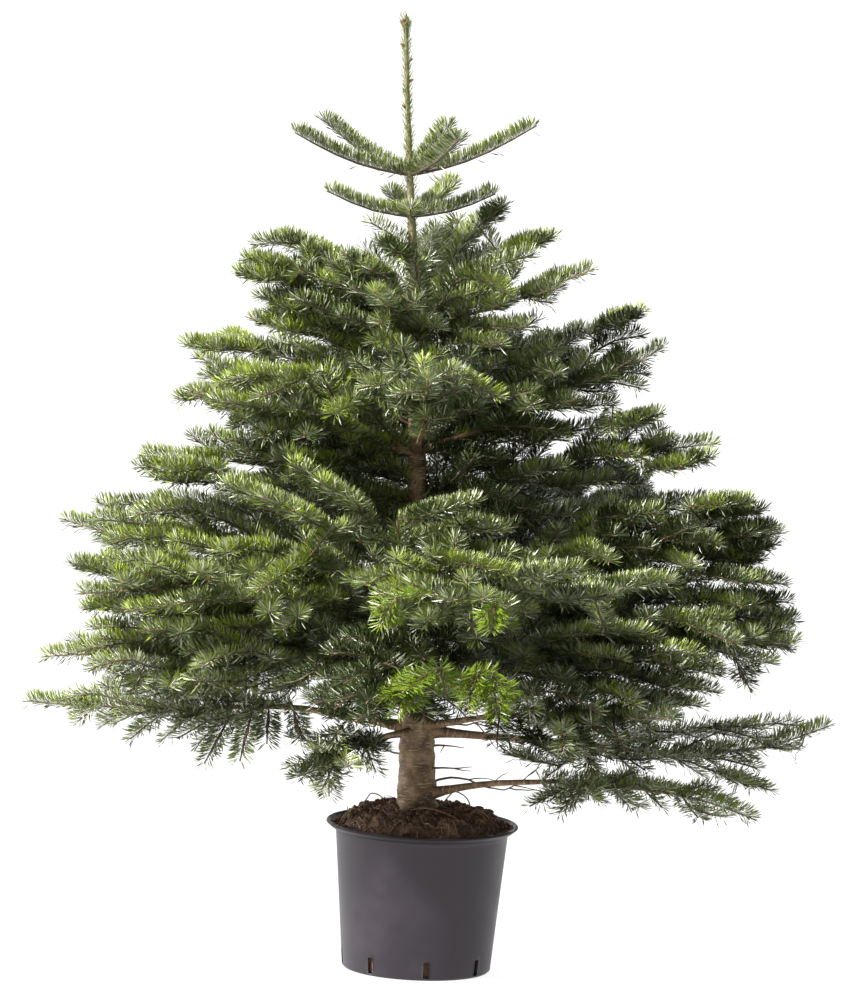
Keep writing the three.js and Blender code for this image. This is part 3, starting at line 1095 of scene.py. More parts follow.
def isHeld(twig, kept):
    # its foot is on a twig that was kept
    others = [other["path"] for other in kept if other is not twig]
    return twig["order"] == 0 or any(
        np.linalg.norm(path - twig["path"][0], axis=1).min() < trunkWindow["hold"] for path in others)


gapTwigs = growLimbs()
growSprays()
growYoung()
growInner()
openWindow()
twigs = [twig for limb in limbs for twig in limb["twigs"]]
print("twigs", len(twigs), "for gaps", gapTwigs, "metres", round(sum(t["lengths"][-1] for t in twigs), 1))

# needles

needleSet = {
    "budget": 425000,
    "perMetre": 2900.0,
    "length": (0.0262, 0.0018),
    "width": 0.0022,
    "widestAt": 0.66,
    "fold": 0.26,
    "lean": 60.0,  # degrees between needle and twig
    "leanUp": 10.0,  # the upper needles stand steeper
    "leanAtTip": 38.0,
    "leanSpread": 4.5,
    "spread": 108.0,  # degrees round the twig from straight up to its lowest side needles
    "roundPower": 0.9,
    "roundSpread": 0.06,
    "combLean": 66.0,  # young shoots carry their needles like a comb
    "combSpread": 78.0,
    "combCrowd": 1.25,
    "combFrost": 0.55,
    # pale undersides on the young shoots, partly a painted highlight
    "combSilverAndHighlight": 0.16,
    "combHanging": 0.3,
    "hanging": 0.06,  # share that point anywhere
    "lowCrowd": 0.60,
    "flatHeights": (0.40, 0.58),  # low shaded twigs hold their needles flatter, in two ranks
    "flatFrom": 50.0,
    "flatShare": 0.42,
    "flatChance": 0.8,
    "twist": 34.0,
    "tipTuft": 0.007,
    "sideGain": 0.08,
    "footShort": (0.75, 0.05),  # needles are shorter at the foot of a twig: share, over this length
    "tipShort": (0.76, 0.03),
    "off": 0.0009,
    "widthSpread": (0.85, 1.15),
    "year": 0.09,
    "yearsKept": (1.0, 1.0, 0.9, 0.7, 0.45, 0.25, 0.1),
    # share of the sprays given the dark shade tone, as painted shade, on limbs that others overhang or
    # that face away from the light
    "shaded": {"whorl_4_foliage_5": 1.0, "whorl_3_foliage_1": 0.45, "whorl_4_foliage_1": 0.1,
               "middle_shoot_1": 0.3, "whorl_5_foliage_2": 0.6, "whorl_5_foliage_3": 0.45,
               "whorl_3_foliage_2": 0.4, "inner": 0.05, "whorl_2_foliage_1": 0.5,
               "whorl_2_foliage_6": 0.15},
    # and share given the pale frost and fresh tones, as painted light, on limbs that catch it
    "lit": {"low_limb_1_foliage": 0.8, "low_limb_2_foliage": 0.8, "whorl_4_foliage_4": 1.0,
            "whorl_1_foliage_1": 0.4, "whorl_1_foliage_3": 0.6, "whorl_5_foliage_1": 1.0,
            "whorl_3_foliage_4": 0.85, "whorl_3_foliage_5": 0.7, "whorl_2_foliage_4": 0.6,
            "whorl_2_foliage_5": 0.6, "whorl_3_foliage_3": 0.6, "middle_shoot_2": 0.8},
    "outerFrom": 0.55,
    "outerSteps": (0.26, 0.64, 0.88, 1.0),  # chances added up: deep, leaf, frost, fresh
    # inner sprays get more of the dark tones: partly older needles, partly painted shade
    "innerSteps": (0.42, 0.78, 0.86, 1.0),
    "underLow": 0.22,  # more of the undersides show on the lowest limbs
    "lowFrom": 0.58,  # share of the spread past which needles count as low
    # painted shade: share of the low needles darkened to the deep tone
    "lowPaintedShade": 0.72,
    # the pale needles on top are partly real undersides, partly painted highlights
    "underShare": (0.20, 0.13),  # silvery undersides turned up: on top and low at the sides
    "darkSilver": 0.3,  # less of it in the darkest and the yellow-green sprays
    "crowd": (0.55, 1.12),  # crowding near the trunk and in the outer crown
    "crowdShares": (0.25, 0.6),
    "innerCrowd": 0.62,
    "otherTones": 0.46,  # needles a shade off the rest of their spray
    "mostInPiece": 190000,
}


goldenTurn = 137.508  # degrees from one needle to the next round its stem


def needleShare(back):
    # share of the needles still on wood of that age
    years = np.arange(len(needleSet["yearsKept"])) * needleSet["year"]
    return np.interp(back, years, needleSet["yearsKept"])


def needleWeight(twig):
    total = twig["lengths"][-1]
    at = np.linspace(twig["bare"], total, 12)
    return float(np.mean(needleShare(total - at)) * (total - twig["bare"]))


def crowdOf(twig):
    if "kind" in twig:
        return hangSet["crowd"][twig["kind"]]
    if twig["limb"]["name"] == "inner":
        return needleSet["innerCrowd"]
    tip = twig["path"][-1]
    sparse = needleSet["lowCrowd"] if twig["order"] > 0 else 1.0
    low = np.interp(tip[2], needleSet["flatHeights"], (sparse, 1.0))
    share = trunkDistance(tip) / twig["limb"]["reach"]
    return float(low * np.interp(share, needleSet["crowdShares"], needleSet["crowd"]))


def toneOf(twig):
    # one colour to a spray, with painted shade and painted light on some limbs
    name = twig["limb"]["name"]
    if "kind" in twig:
        return toneAt["vivid" if twig["kind"] == "vivid" else "leaf"]
    if "comb" in twig:
        return toneAt["frost" if dice.random() < needleSet["combFrost"] else "leaf"]
    # painted shade on overhung limbs, painted light on limbs that face the lamp
    if dice.random() < needleSet["shaded"].get(name, 0.0):
        return toneAt["shade"]
    if dice.random() < needleSet["lit"].get(name, 0.0):
        return toneAt[str(dice.choice(["frost", "fresh"]))]
    outer = trunkDistance(twig["path"][-1]) / twig["limb"]["reach"] > needleSet["outerFrom"]
    steps = needleSet["outerSteps" if outer else "innerSteps"]
    return toneAt["deep"] + int(np.searchsorted(steps, dice.random()))


def blades(foot, direction, length, widest, half, slots):
    # two triangles to a needle
    points = np.stack([foot, widest - half, foot + direction * length[:, None], widest + half], axis=1)
    first = np.arange(len(foot))[:, None] * 4
    triangles = np.stack([first + [[0, 2, 1]], first + [[0, 3, 2]]], axis=1)
    return points.reshape(-1, 3), triangles.reshape(-1, 3), np.repeat(slots, 2)


def needleFeet(twig, perMetre):
    # distances along the twig of the needles that are still on it
    total, bare = twig["lengths"][-1], twig["bare"]
    count = int(perMetre * (total - bare) * (needleSet["combCrowd"] if "comb" in twig else 1.0))
    if count < 3:
        return np.empty(0)
    at = bare + (np.arange(count) + 0.5 * dice.random(count)) / count * (total - bare)
    return at[dice.random(count) < needleShare(total - at)]


def needleTurns(count, comb, flat):
    # angles round the twig, from straight up
    spiral = ((np.arange(count) * goldenTurn + dice.random() * 360) % 360) - 180
    spread = needleSet["combSpread"] if comb else needleSet["spread"]
    turns = np.radians(np.sign(spiral) * spread * (np.abs(spiral) / 180) ** needleSet["roundPower"])
    if not comb:
        pressed = needleSet["flatFrom"] + needleSet["flatShare"] * np.degrees(np.abs(turns))
        pressed = np.sign(turns) * np.radians(pressed)
        turns = turns + (pressed - turns) * flat * (dice.random(count) < needleSet["flatChance"])
    hanging = dice.random(count) < needleSet["hanging"] * (needleSet["combHanging"] if comb else 1.0)
    turns[hanging] = dice.uniform(-math.pi, math.pi, hanging.sum())
    return turns + dice.normal(0, needleSet["roundSpread"], count)


def needleSlots(twig, tone, turns, flat):
    # the colour of the spray with some needles a shade off, the low ones darkened as painted shade, and
    # some pale undersides turned up that also serve as painted highlights
    count = len(turns)
    slots = np.full(count, tone)
    low = np.abs(turns) > math.radians(needleSet["spread"] * needleSet["lowFrom"])
    other = dice.random(count) < needleSet["otherTones"]
    if tone != toneAt["vivid"]:
        slots[other] = np.clip(tone + dice.choice((-1, 1), other.sum()), 0, toneAt["fresh"])
        # painted shade: needles on the lower side of a spray are darker
        slots[low & (dice.random(count) < needleSet["lowPaintedShade"])] = min(tone, toneAt["deep"])
    # pale undersides, partly painted highlights on the upper needles
    silver = np.where(low, needleSet["underShare"][1], needleSet["underShare"][0])
    if "kind" not in twig:
        silver = silver + flat * needleSet["underLow"] + ("comb" in twig) * needleSet["combSilverAndHighlight"]
    if tone in (toneAt["shade"], toneAt["vivid"]):
        silver = silver * needleSet["darkSilver"]
    slots[dice.random(count) < silver] = toneAt["under"]
    return slots


def flatnessOf(twig, height):
    # 1.0 where the needles are pressed into two ranks
    if "kind" in twig:
        return 1.0
    lowest = 1.0 if twig["order"] > 0 else 0.0
    return float(np.interp(height, needleSet["flatHeights"], (lowest, 0.0)))


def needlesOn(twig, perMetre, tone):
    at = needleFeet(twig, perMetre)
    count = len(at)
    if count < 3:
        return None
    back = twig["lengths"][-1] - at
    comb = "comb" in twig
    foot = alongPath(twig["path"], twig["lengths"], at)
    fields = framesOf(twig["path"])
    ahead, side, up = (units(alongPath(field, twig["lengths"], at)) for field in fields)
    flat = flatnessOf(twig, foot[:, 2].mean())
    turns = needleTurns(count, comb, flat)
    tipShare = np.clip(1 - back / needleSet["tipTuft"], 0, 1)
    lean = (needleSet["combLean"] if comb else needleSet["lean"]) + needleSet["leanUp"] * np.cos(turns)
    lean += (needleSet["leanAtTip"] - lean) * tipShare
    lean = np.radians(lean + dice.normal(0, needleSet["leanSpread"], count))
    radial = up * np.cos(turns)[:, None] + side * np.sin(turns)[:, None]
    direction = units(ahead * np.cos(lean)[:, None] + radial * np.sin(lean)[:, None])
    length = dice.normal(*needleSet["length"], count)
    length *= 1 - needleSet["sideGain"] + needleSet["sideGain"] * np.abs(np.sin(turns))
    (atFoot, footRun), (atTip, tipRun) = needleSet["footShort"], needleSet["tipShort"]
    length *= np.clip(atFoot + at / footRun, atFoot, 1.0) * np.clip(atTip + back / tipRun, atTip, 1.0)
    across = units(np.cross(direction, up))
    twist = np.radians(dice.normal(0, needleSet["twist"], count))[:, None]
    across = across * np.cos(twist) + np.cross(direction, across) * np.sin(twist)
    foot = foot + radial * needleSet["off"]
    widest = foot + direction * (length * needleSet["widestAt"])[:, None]
    widest -= np.cross(across, direction) * (needleSet["width"] * needleSet["fold"])
    half = across * (needleSet["width"] / 2) * dice.uniform(*needleSet["widthSpread"], count)[:, None]
    return blades(foot, direction, length, widest, half, needleSlots(twig, tone, turns, flat))


def groupOf(name):
    # limbs of one group share their pieces of needles
    if "_foliage" in name:
        return name.split("_foliage")[0]
    return name.rsplit("_", 1)[0] if name.startswith("middle_shoot") else name


def growNeedles():
    weights = [needleWeight(twig) * crowdOf(twig) for twig in twigs]
    perMetre = min(needleSet["perMetre"], needleSet["budget"] / sum(weights))
    print("needled metres", round(sum(weights), 1), "needles to a metre", round(perMetre))
    byMass = {}
    for twig in twigs:
        tone = toneOf(twig)
        made = needlesOn(twig, perMetre * crowdOf(twig), tone)
        if made:
            byMass.setdefault(twig["limb"]["name"], Gathered()).add(*made)
    return byMass


def needlePieces(byMass):
    # masses of one whorl joined while they stay under the most triangles for a piece
    pieces = []
    for name in sorted(byMass):
        group = groupOf(name)
        made = byMass[name]
        last = pieces[-1] if pieces and pieces[-1]["group"] == group else None
        if last is None or last["count"] + made.triangleCount() > needleSet["mostInPiece"]:
            pieces.append({"group": group, "masses": [], "gathered": Gathered(), "count": 0})
            last = pieces[-1]
        for points, triangles, slots, first in zip(made.points, made.triangles, made.slots, made.starts):
            last["gathered"].add(points, triangles - first, slots)
        last["count"] += made.triangleCount()
        last["masses"].append(name)
    return pieces


materials = needleMaterials()
named = {}
for entry in needlePieces(growNeedles()):
    group = entry["group"]
    named[group] = named.get(group, 0) + 1
    print("needles", group, named[group], entry["count"])
    piece = entry["gathered"].piece(f"{group}_needles_{named[group]}", materials, smooth=False)
    finishPiece(piece, "needles", *[n for n in entry["masses"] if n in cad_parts])

# twigs, boughs and trunk

twigSet = {
    "youngTone": (0.090, 0.056, 0.024),
    "oldTone": (0.090, 0.062, 0.040),
    "youngRough": 0.6,
    "oldRough": 0.75,
    "oldFrom": 0.11,
    "step": 0.03,
    "sides": 5,
}


def makeTwigs():
    gathered = Gathered()
    for twig in twigs:
        if twig["order"] == 0 and "line" in twig["limb"]:
            continue
        path, lengths = twig["path"], twig["lengths"]
        radii = growth["foot"] + growth["taper"] * (lengths[-1] - lengths)
        count = max(3, int(lengths[-1] / twigSet["step"]) + 1)
        keep = np.unique(np.linspace(0, len(path) - 1, count).astype(int))
        old = int(lengths[-1] >= twigSet["oldFrom"])
        gathered.addTube(path[keep], radii[keep], twigSet["sides"], old)
    return gathered


twigPieces = makeTwigs()
print("twig triangles", twigPieces.triangleCount())
twigPiece = twigPieces.piece("twigs", [
    plainMaterial("twig_young", twigSet["youngTone"], twigSet["youngRough"]),
    plainMaterial("twig_old", twigSet["oldTone"], twigSet["oldRough"]),
])
finishPiece(twigPiece, "bark")


reliefSet = {"round": 0.9, "along": 60, "coarse": 0.10, "fine": 0.05, "fineScale": 3.1}


def barkRelief(lengths, angle, reach):
    swell = np.zeros_like(reach)
    for i, at in enumerate(lengths):
        for j, a in enumerate(angle):
            spot = Vector(bearing(a) * reliefSet["round"])
            spot.z = at * reliefSet["along"]
            coarse = noise.noise(spot) * reliefSet["coarse"]
            swell[i, j] = coarse + noise.noise(spot * reliefSet["fineScale"]) * reliefSet["fine"]
    return swell * reach


boughSet = {
    "rootShare": 0.52,
    "endRadius": 0.0011,
    "taper": 1.15,
    # painted light: the bark of the boughs is a lighter copy of the trunk's
    "tint": 1.25,
    "collar": 0.75,
    "collarLength": 0.020,
    "step": 0.012,
    "sides": 9,
}


def makeBoughs():
    gathered = Gathered()
    for limb in limbs:
        if "line" not in limb:
            continue
        line = smoothLine(limb["line"], boughSet["step"])
        lengths = lengthsOf(line)
        share = lengths / lengths[-1]
        start, end = limb["rootRadius"] * boughSet["rootShare"], boughSet["endRadius"]
        radii = end + (start - end) * (1 - share) ** boughSet["taper"]
        out = np.maximum(lengths - trunkRadius(line[0][2]), 0.0)
        radii *= 1 + boughSet["collar"] * np.exp(-out / boughSet["collarLength"])
        gathered.addTube(line, radii, boughSet["sides"], 0, barkRelief)
    return gathered


boughNodes = [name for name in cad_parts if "_bough" in name]
boughPiece = makeBoughs().piece("boughs", [barkMaterial("bough_bark", boughSet["tint"])])
finishPiece(boughPiece, "bark", *boughNodes)

trunkSet = {
    "step": 0.005,
    "sides": 36,
    "into": 0.012,
    "footHeights": (0.25, 0.262, 0.285, 0.40, 0.60),
    "footShare": (0.93, 0.93, 1.07, 1.06, 1.0),
}


def makeTrunk():
    heights = np.arange(trunkLine[0, 0] - trunkSet["into"], trunkLine[-1, 0], trunkSet["step"])
    path = np.array([onTrunk(h) for h in heights])
    path[1:-1, :2] = (path[:-2, :2] + path[2:, :2]) / 2
    radii = np.array([trunkRadius(h) for h in heights])
    radii *= np.interp(heights, trunkSet["footHeights"], trunkSet["footShare"])
    gathered = Gathered()
    gathered.addTube(path, radii, trunkSet["sides"], 0, barkRelief)
    return gathered


trunkPiece = makeTrunk().piece("trunk_bark", [barkMaterial("trunk_bark", young=True)])
finishPiece(trunkPiece, "bark", "trunk")

# leader, upper trunk and buds

stemNeedles = [
    # heights, needles, their length and degrees from the stem
    {"from": 1.245, "to": 1.490, "count": 620, "length": 0.0155, "lean": 36.0, "tone": "leaf"},
    {"from": 1.015, "to": 1.245, "count": 560, "length": 0.0185, "lean": 46.0, "tone": "frost"},
]
stemSet = {
    "turnSpread": 0.15,
    "leanSpread": 8,
    "heightSpread": 0.001,
    "silver": 0.3,
    "lengthSpread": (0.75, 1.15),
    "into": 0.92,
    "width": 0.4,
}
budSet = {
    "length": 0.0055,
    "radius": 0.0018,
    "outer": 0.62,  # share of the limb's reach past which tips carry buds
    "most": 640,
    "aside": 0.7,
    "tone": (0.170, 0.105, 0.050),
    "rough": 0.45,
    "outline": ((0.0, 0.55), (0.28, 1.0), (0.6, 0.86), (0.88, 0.36)),  # along the bud, and its girth
    # the cluster at the apex, and single buds on the leader: height and direction
    "apexCount": 9,
    "apexTurn": 2.4,
    "apexLean": (0.8, 2.0),
    "apexSize": (2.3, 1.5),
    "apexBelow": (0.007, 0.005),
    "leader": ((1.447, -2.9), (1.424, -0.3), (1.392, 0.2), (1.352, -2.8)),
    "leaderRise": 0.5,
    "leaderSize": (0.0125, 0.0028),
}


def growStemNeedles():
    gathered = Gathered()
    for band in stemNeedles:
        count = band["count"]
        heights = np.linspace(band["from"], band["to"], count)
        heights += dice.normal(0, stemSet["heightSpread"], count)
        angle = np.radians(np.arange(count) * goldenTurn)
        angle += dice.normal(0, stemSet["turnSpread"], count)
        radial = ringAt(1.0, angle, 0.0)
        centre = np.array([onTrunk(h) for h in heights])
        radius = np.array([trunkRadius(h) for h in heights])[:, None]
        lean = np.radians(band["lean"] + dice.normal(0, stemSet["leanSpread"], count))[:, None]
        direction = units(radial * np.sin(lean) + upward * np.cos(lean))
        half = units(np.cross(direction, radial)) * (needleSet["width"] * stemSet["width"])
        slots = np.where(dice.random(count) < stemSet["silver"], toneAt["under"], toneAt[band["tone"]])
        length = band["length"] * dice.uniform(*stemSet["lengthSpread"], count)
        foot = centre + radial * radius * stemSet["into"]
        widest = foot + direction * (length * needleSet["widestAt"])[:, None]
        gathered.add(*blades(foot, direction, length, widest, half, slots))
    return gathered


def addBud(gathered, foot, heading, length, radius):
    share, girth = np.array(budSet["outline"]).T
    gathered.addTube(foot + heading * (length * share)[:, None], radius * girth, 5)


def growBuds():
    gathered = Gathered()
    apex = onTrunk(trunkLine[-1, 0])
    below, belowLean = budSet["apexBelow"]
    for k in range(budSet["apexCount"]):
        lean = dice.uniform(*budSet["apexLean"]) if k > 0 else 0.0
        heading = unit(bearing(k * budSet["apexTurn"]) * lean + upward)
        foot = apex - upward * (below + belowLean * lean)
        longer, thicker = budSet["apexSize"]
        addBud(gathered, foot, heading, budSet["length"] * longer, budSet["radius"] * thicker)
    for height, angle in budSet["leader"]:
        heading = unit(bearing(angle, budSet["leaderRise"]))
        addBud(gathered, onTrunk(height), heading, *budSet["leaderSize"])
    tips = [t for t in twigs if trunkDistance(t["path"][-1]) > budSet["outer"] * t["limb"]["reach"]]
    for twig in tips[::max(1, len(tips) * 2 // budSet["most"])]:
        tip, heading = twig["path"][-1], unit(twig["path"][-1] - twig["path"][-2])
        aside = unit(np.cross(heading, upward))
        for lean in (0.0, budSet["aside"] * dice.choice((-1, 1))):
            addBud(gathered, tip, unit(heading + aside * lean), budSet["length"], budSet["radius"])
    return gathered


finishPiece(growStemNeedles().piece("leader_needles", materials, smooth=False), "needles")
budPieces = growBuds()
print("bud triangles", budPieces.triangleCount())
budScales = plainMaterial("bud_scales", budSet["tone"], budSet["rough"])
finishPiece(budPieces.piece("buds", [budScales]), "bark")

# dead twigs low on the trunk

deadTwigs = [
    # height on the trunk, azimuth, length, rise, forks
    {"height": 0.384, "azimuth": -24.0, "length": 0.165, "rise": 0.06, "forks": 4},
    {"height": 0.352, "azimuth": -12.0, "length": 0.052, "rise": 0.10, "forks": 1},
    {"height": 0.322, "azimuth": -30.0, "length": 0.078, "rise": -0.05, "forks": 2},
    {"height": 0.292, "azimuth": 18.0, "length": 0.215, "rise": 0.10, "forks": 5},
    {"height": 0.366, "azimuth": 196.0, "length": 0.060, "rise": 0.05, "forks": 1},
    {"height": 0.330, "azimuth": 118.0, "length": 0.120, "rise": 0.02, "forks": 3},
]
deadSet = {
    "radius": 0.0021,
    "tipRadius": 0.0006,
    "step": 0.01,
    "bend": 0.125,
    "forkSpread": 0.7,
    "forkLength": (0.15, 0.38),
    "forkRadius": 0.6,
    "forkTip": 0.0005,
    "tone": (0.120, 0.078, 0.050),
    "rough": 0.8,
}


def deadPath(foot, heading, length):
    count = max(4, int(length / deadSet["step"]))
    path = [foot]
    for _ in range(count):
        heading = unit(heading + dice.normal(0, deadSet["bend"], 3))
        path.append(path[-1] + heading * (length / count))
    return np.array(path)


def growDeadTwigs():
    gathered = Gathered()
    for settings in deadTwigs:
        height, length = settings["height"], settings["length"]
        heading = unit(bearing(math.radians(settings["azimuth"]), settings["rise"]))
        path = deadPath(onTrunk(height) + heading * trunkRadius(height) * 0.9, heading, length)
        gathered.addTube(path, np.linspace(deadSet["radius"], deadSet["tipRadius"], len(path)), 6)
        for _ in range(settings["forks"]):
            at = dice.integers(len(path) // 4, len(path) - 1)
            side = unit(heading + dice.normal(0, deadSet["forkSpread"], 3))
            fork = deadPath(path[at], side, length * dice.uniform(*deadSet["forkLength"]))
            thick = deadSet["radius"] * deadSet["forkRadius"]
            gathered.addTube(fork, np.linspace(thick, deadSet["forkTip"], len(fork)), 5)
    return gathered


wisp = {
    "strands": 5,
    "length": 0.085,
    "lengthSpread": (0.6, 1.0),
    "steps": 16,
    "radius": 0.0009,
    "tipRadius": 0.0004,
    "spread": 0.25,
    "bend": 0.9,
    "weight": -0.25,
    "back": 0.035,
}


def growWisp(gathered):
    # a dead, curled end that hangs from the tip of the longest low limb
    limb = next(l for l in limbs if l["name"] == "low_limb_1_foliage")
    foot = limb["line"][-1] - limb["outward"] * wisp["back"]
    count = wisp["steps"]
    for _ in range(wisp["strands"]):
        heading = unit(np.array([dice.normal(0, wisp["spread"]), dice.normal(0, wisp["spread"]), -1.0]))
        strand = [foot]
        length = wisp["length"] * dice.uniform(*wisp["lengthSpread"])
        for i in range(count):
            curl = dice.normal(0, wisp["bend"], 3) * (i / count)
            heading = unit(heading + curl + (0, 0, wisp["weight"]))
            strand.append(strand[-1] + heading * length / count)
        gathered.addTube(np.array(strand), np.linspace(wisp["radius"], wisp["tipRadius"], count + 1), 5)
    return gathered


deadWood = plainMaterial("dead_wood", deadSet["tone"], deadSet["rough"])
finishPiece(growWisp(growDeadTwigs()).piece("dead_twigs", [deadWood]), "bark")

# pot

potSet = {
    "sides": 160,
    "wall": 0.0026,
    "floor": 0.004,
    "floorShares": (0.66, 0.33, 0.004),
    "slots": 8,
    "firstSlot": -37.0,  # degrees
    "slotSides": 2,
    "slotRows": 4,
    "slotHeight": 0.025,
    "bandRows": 26,
    "collarBelow": 0.012,
    "flare": (0.8, 1.6),  # how soon the collar widens and rises
    "lipSteps": 7,
    "lipDepth": 0.0048,
    "lipGap": 0.0005,
    "lipWall": 1.1,
    "rollDrop": 0.002,
    "rollOut": (0.5, 0.5 * math.pi, 4),  # angles round the bead of the rim, and their count
    "rollOver": (0.1, 0.95 * math.pi, 6),
    "sway": 0.0011,  # the thin rim is a little out of round
}
potFinish = {
    "tone": (0.0090, 0.0072, 0.0102),
    "haze": (0.0165, 0.0135, 0.0175),
    "worn": (0.060, 0.050, 0.046),
    "dirt": (0.026, 0.017, 0.012),
    "hazeNoise": (14.0, 4.0, 0.6),
    "speckNoise": (260.0, 2.0, 0.5),
    "scuffNoise": (45.0, 6.0, 0.7, (1, 1, 0.25)),
    "stainNoise": (60.0, 5.0, 0.7),
    "lipRise": (0.006, -0.001),  # wear and dirt begin above the collar and are full below the rim
    "wearSpan": (0.54, 0.70, 0.0, 0.7),
    "hazeSpan": (0.42, 0.68),
    "dirtSpan": (0.34, 0.52, 0.0, 0.92),
    "speckSpan": (0.74, 0.78, 0.0, 0.35),
    "roughSpan": (0.3, 0.7, 0.36, 0.50),
    "dust": 0.35,
    "shine": 0.62,
    "lipShine": 0.20,  # soiled and dull
    "shineTint": (1.0, 0.91, 1.0),
    "bump": (0.12, 0.0008),
}


def potOutline():
    # outer radius of the pot at each height of its solid
    points = nodePoints("pot")
    reach = np.hypot(points[:, 0], points[:, 1])
    heights = np.unique(np.round(points[:, 2], 4))
    return np.array([(h, reach[np.abs(points[:, 2] - h) < 0.0002].max()) for h in heights])


potLine = potOutline()
potHeight = potLine[-1, 0]
potRim = potLine[:, 1].max()
potCollar = potLine[potLine[:, 0] < potHeight - potSet["collarBelow"]][-1, 0]


def potRadius(height):
    low = potLine[potLine[:, 0] > 0.001][0]
    high = potLine[potLine[:, 0] <= potCollar + 0.0001][-1]
    share = (height - low[0]) / (high[0] - low[0])
    return low[1] + (high[1] - low[1]) * share


def potMaterial(name, shine):
    finish = {"Specular IOR Level": shine, "Specular Tint": (*potFinish["shineTint"], 1.0)}
    material, wiring, shader = newMaterial(name, finish)
    place = wiring.nodes.new("ShaderNodeTexCoord").outputs["Object"]
    haze = wiring.noise(place, *potFinish["hazeNoise"])
    specks = wiring.noise(place, *potFinish["speckNoise"])
    scuffs = wiring.noise(place, *potFinish["scuffNoise"])
    stains = wiring.noise(place, *potFinish["stainNoise"])
    above, below = potFinish["lipRise"]
    lip = wiring.span(wiring.part(place, "Z"), potCollar + above, potHeight + below)
    worn = wiring.combined("MULTIPLY", lip, wiring.span(scuffs, *potFinish["wearSpan"]))
    soiled = wiring.combined("MULTIPLY", lip, wiring.span(stains, *potFinish["dirtSpan"]))
    colour = wiring.mix(wiring.span(haze, *potFinish["hazeSpan"]), potFinish["tone"], potFinish["haze"])
    colour = wiring.mix(worn, colour, potFinish["worn"])
    colour = wiring.mix(soiled, colour, potFinish["dirt"])
    colour = wiring.mix(wiring.span(specks, *potFinish["speckSpan"]), colour, potFinish["worn"])
    wiring.links.new(colour, shader.inputs["Base Color"])
    dusty = wiring.span(soiled, 0.0, 1.0, 0.0, potFinish["dust"])
    matt = wiring.combined("ADD", wiring.span(haze, *potFinish["roughSpan"]), dusty)
    wiring.links.new(matt, shader.inputs["Roughness"])
    wiring.bump(shader, scuffs, *potFinish["bump"])
    return material


def potRings(ring):
    # rings of the underside, the outer skin, the lip, the inner skin and the floor, in that order
    wall, slotLow = potSet["wall"], potSet["floor"]
    slotHigh = slotLow + potSet["slotHeight"]
    lipFoot = potHeight - potSet["lipDepth"]
    foot = potLine[potLine[:, 0] > 0.001][0, 0]
    rows = np.concatenate([[foot, slotLow], np.linspace(slotLow, slotHigh, potSet["slotRows"] + 1)[1:],
                           np.linspace(slotHigh, potCollar, potSet["bandRows"])[1:]])
    outer = [ring(potRadius(h), h) for h in rows]
    inner = [ring(potRadius(h) - wall, max(h, slotLow)) for h in rows]
    lipOut, lipIn = [], []
    start, end = potRadius(potCollar), potRim - wall
    for share in np.linspace(0, 1, potSet["lipSteps"])[1:]:
        widen, rise = (share ** power for power in potSet["flare"])
        reach = start + (end - start) * widen
        height = potCollar + (lipFoot - potSet["lipGap"] - potCollar) * rise
        lipOut.append(ring(reach, height))
        lipIn.append(ring(max(reach - wall * potSet["lipWall"], start - wall), height + wall))
    roll = [ring(end + wall * math.sin(a), lipFoot + potSet["rollDrop"] * (1 - math.cos(a)))
            for a in np.linspace(*potSet["rollOut"])]
    roll += [ring(end + wall * math.cos(a), potHeight - wall + wall * math.sin(a))
             for a in np.linspace(*potSet["rollOver"])]
    lip = lipOut + roll + lipIn[::-1][:-1] + [ring(start - wall, potCollar + wall)]
    floorReach = potRadius(slotLow) - wall
    floorRings = [ring(share * floorReach, slotLow) for share in potSet["floorShares"]]
    bottom, reach = potLine[0]
    under = [ring(share * reach, bottom) for share in (1.0, *potSet["floorShares"])]
    return under[::-1], outer, lip, inner[::-1], floorRings


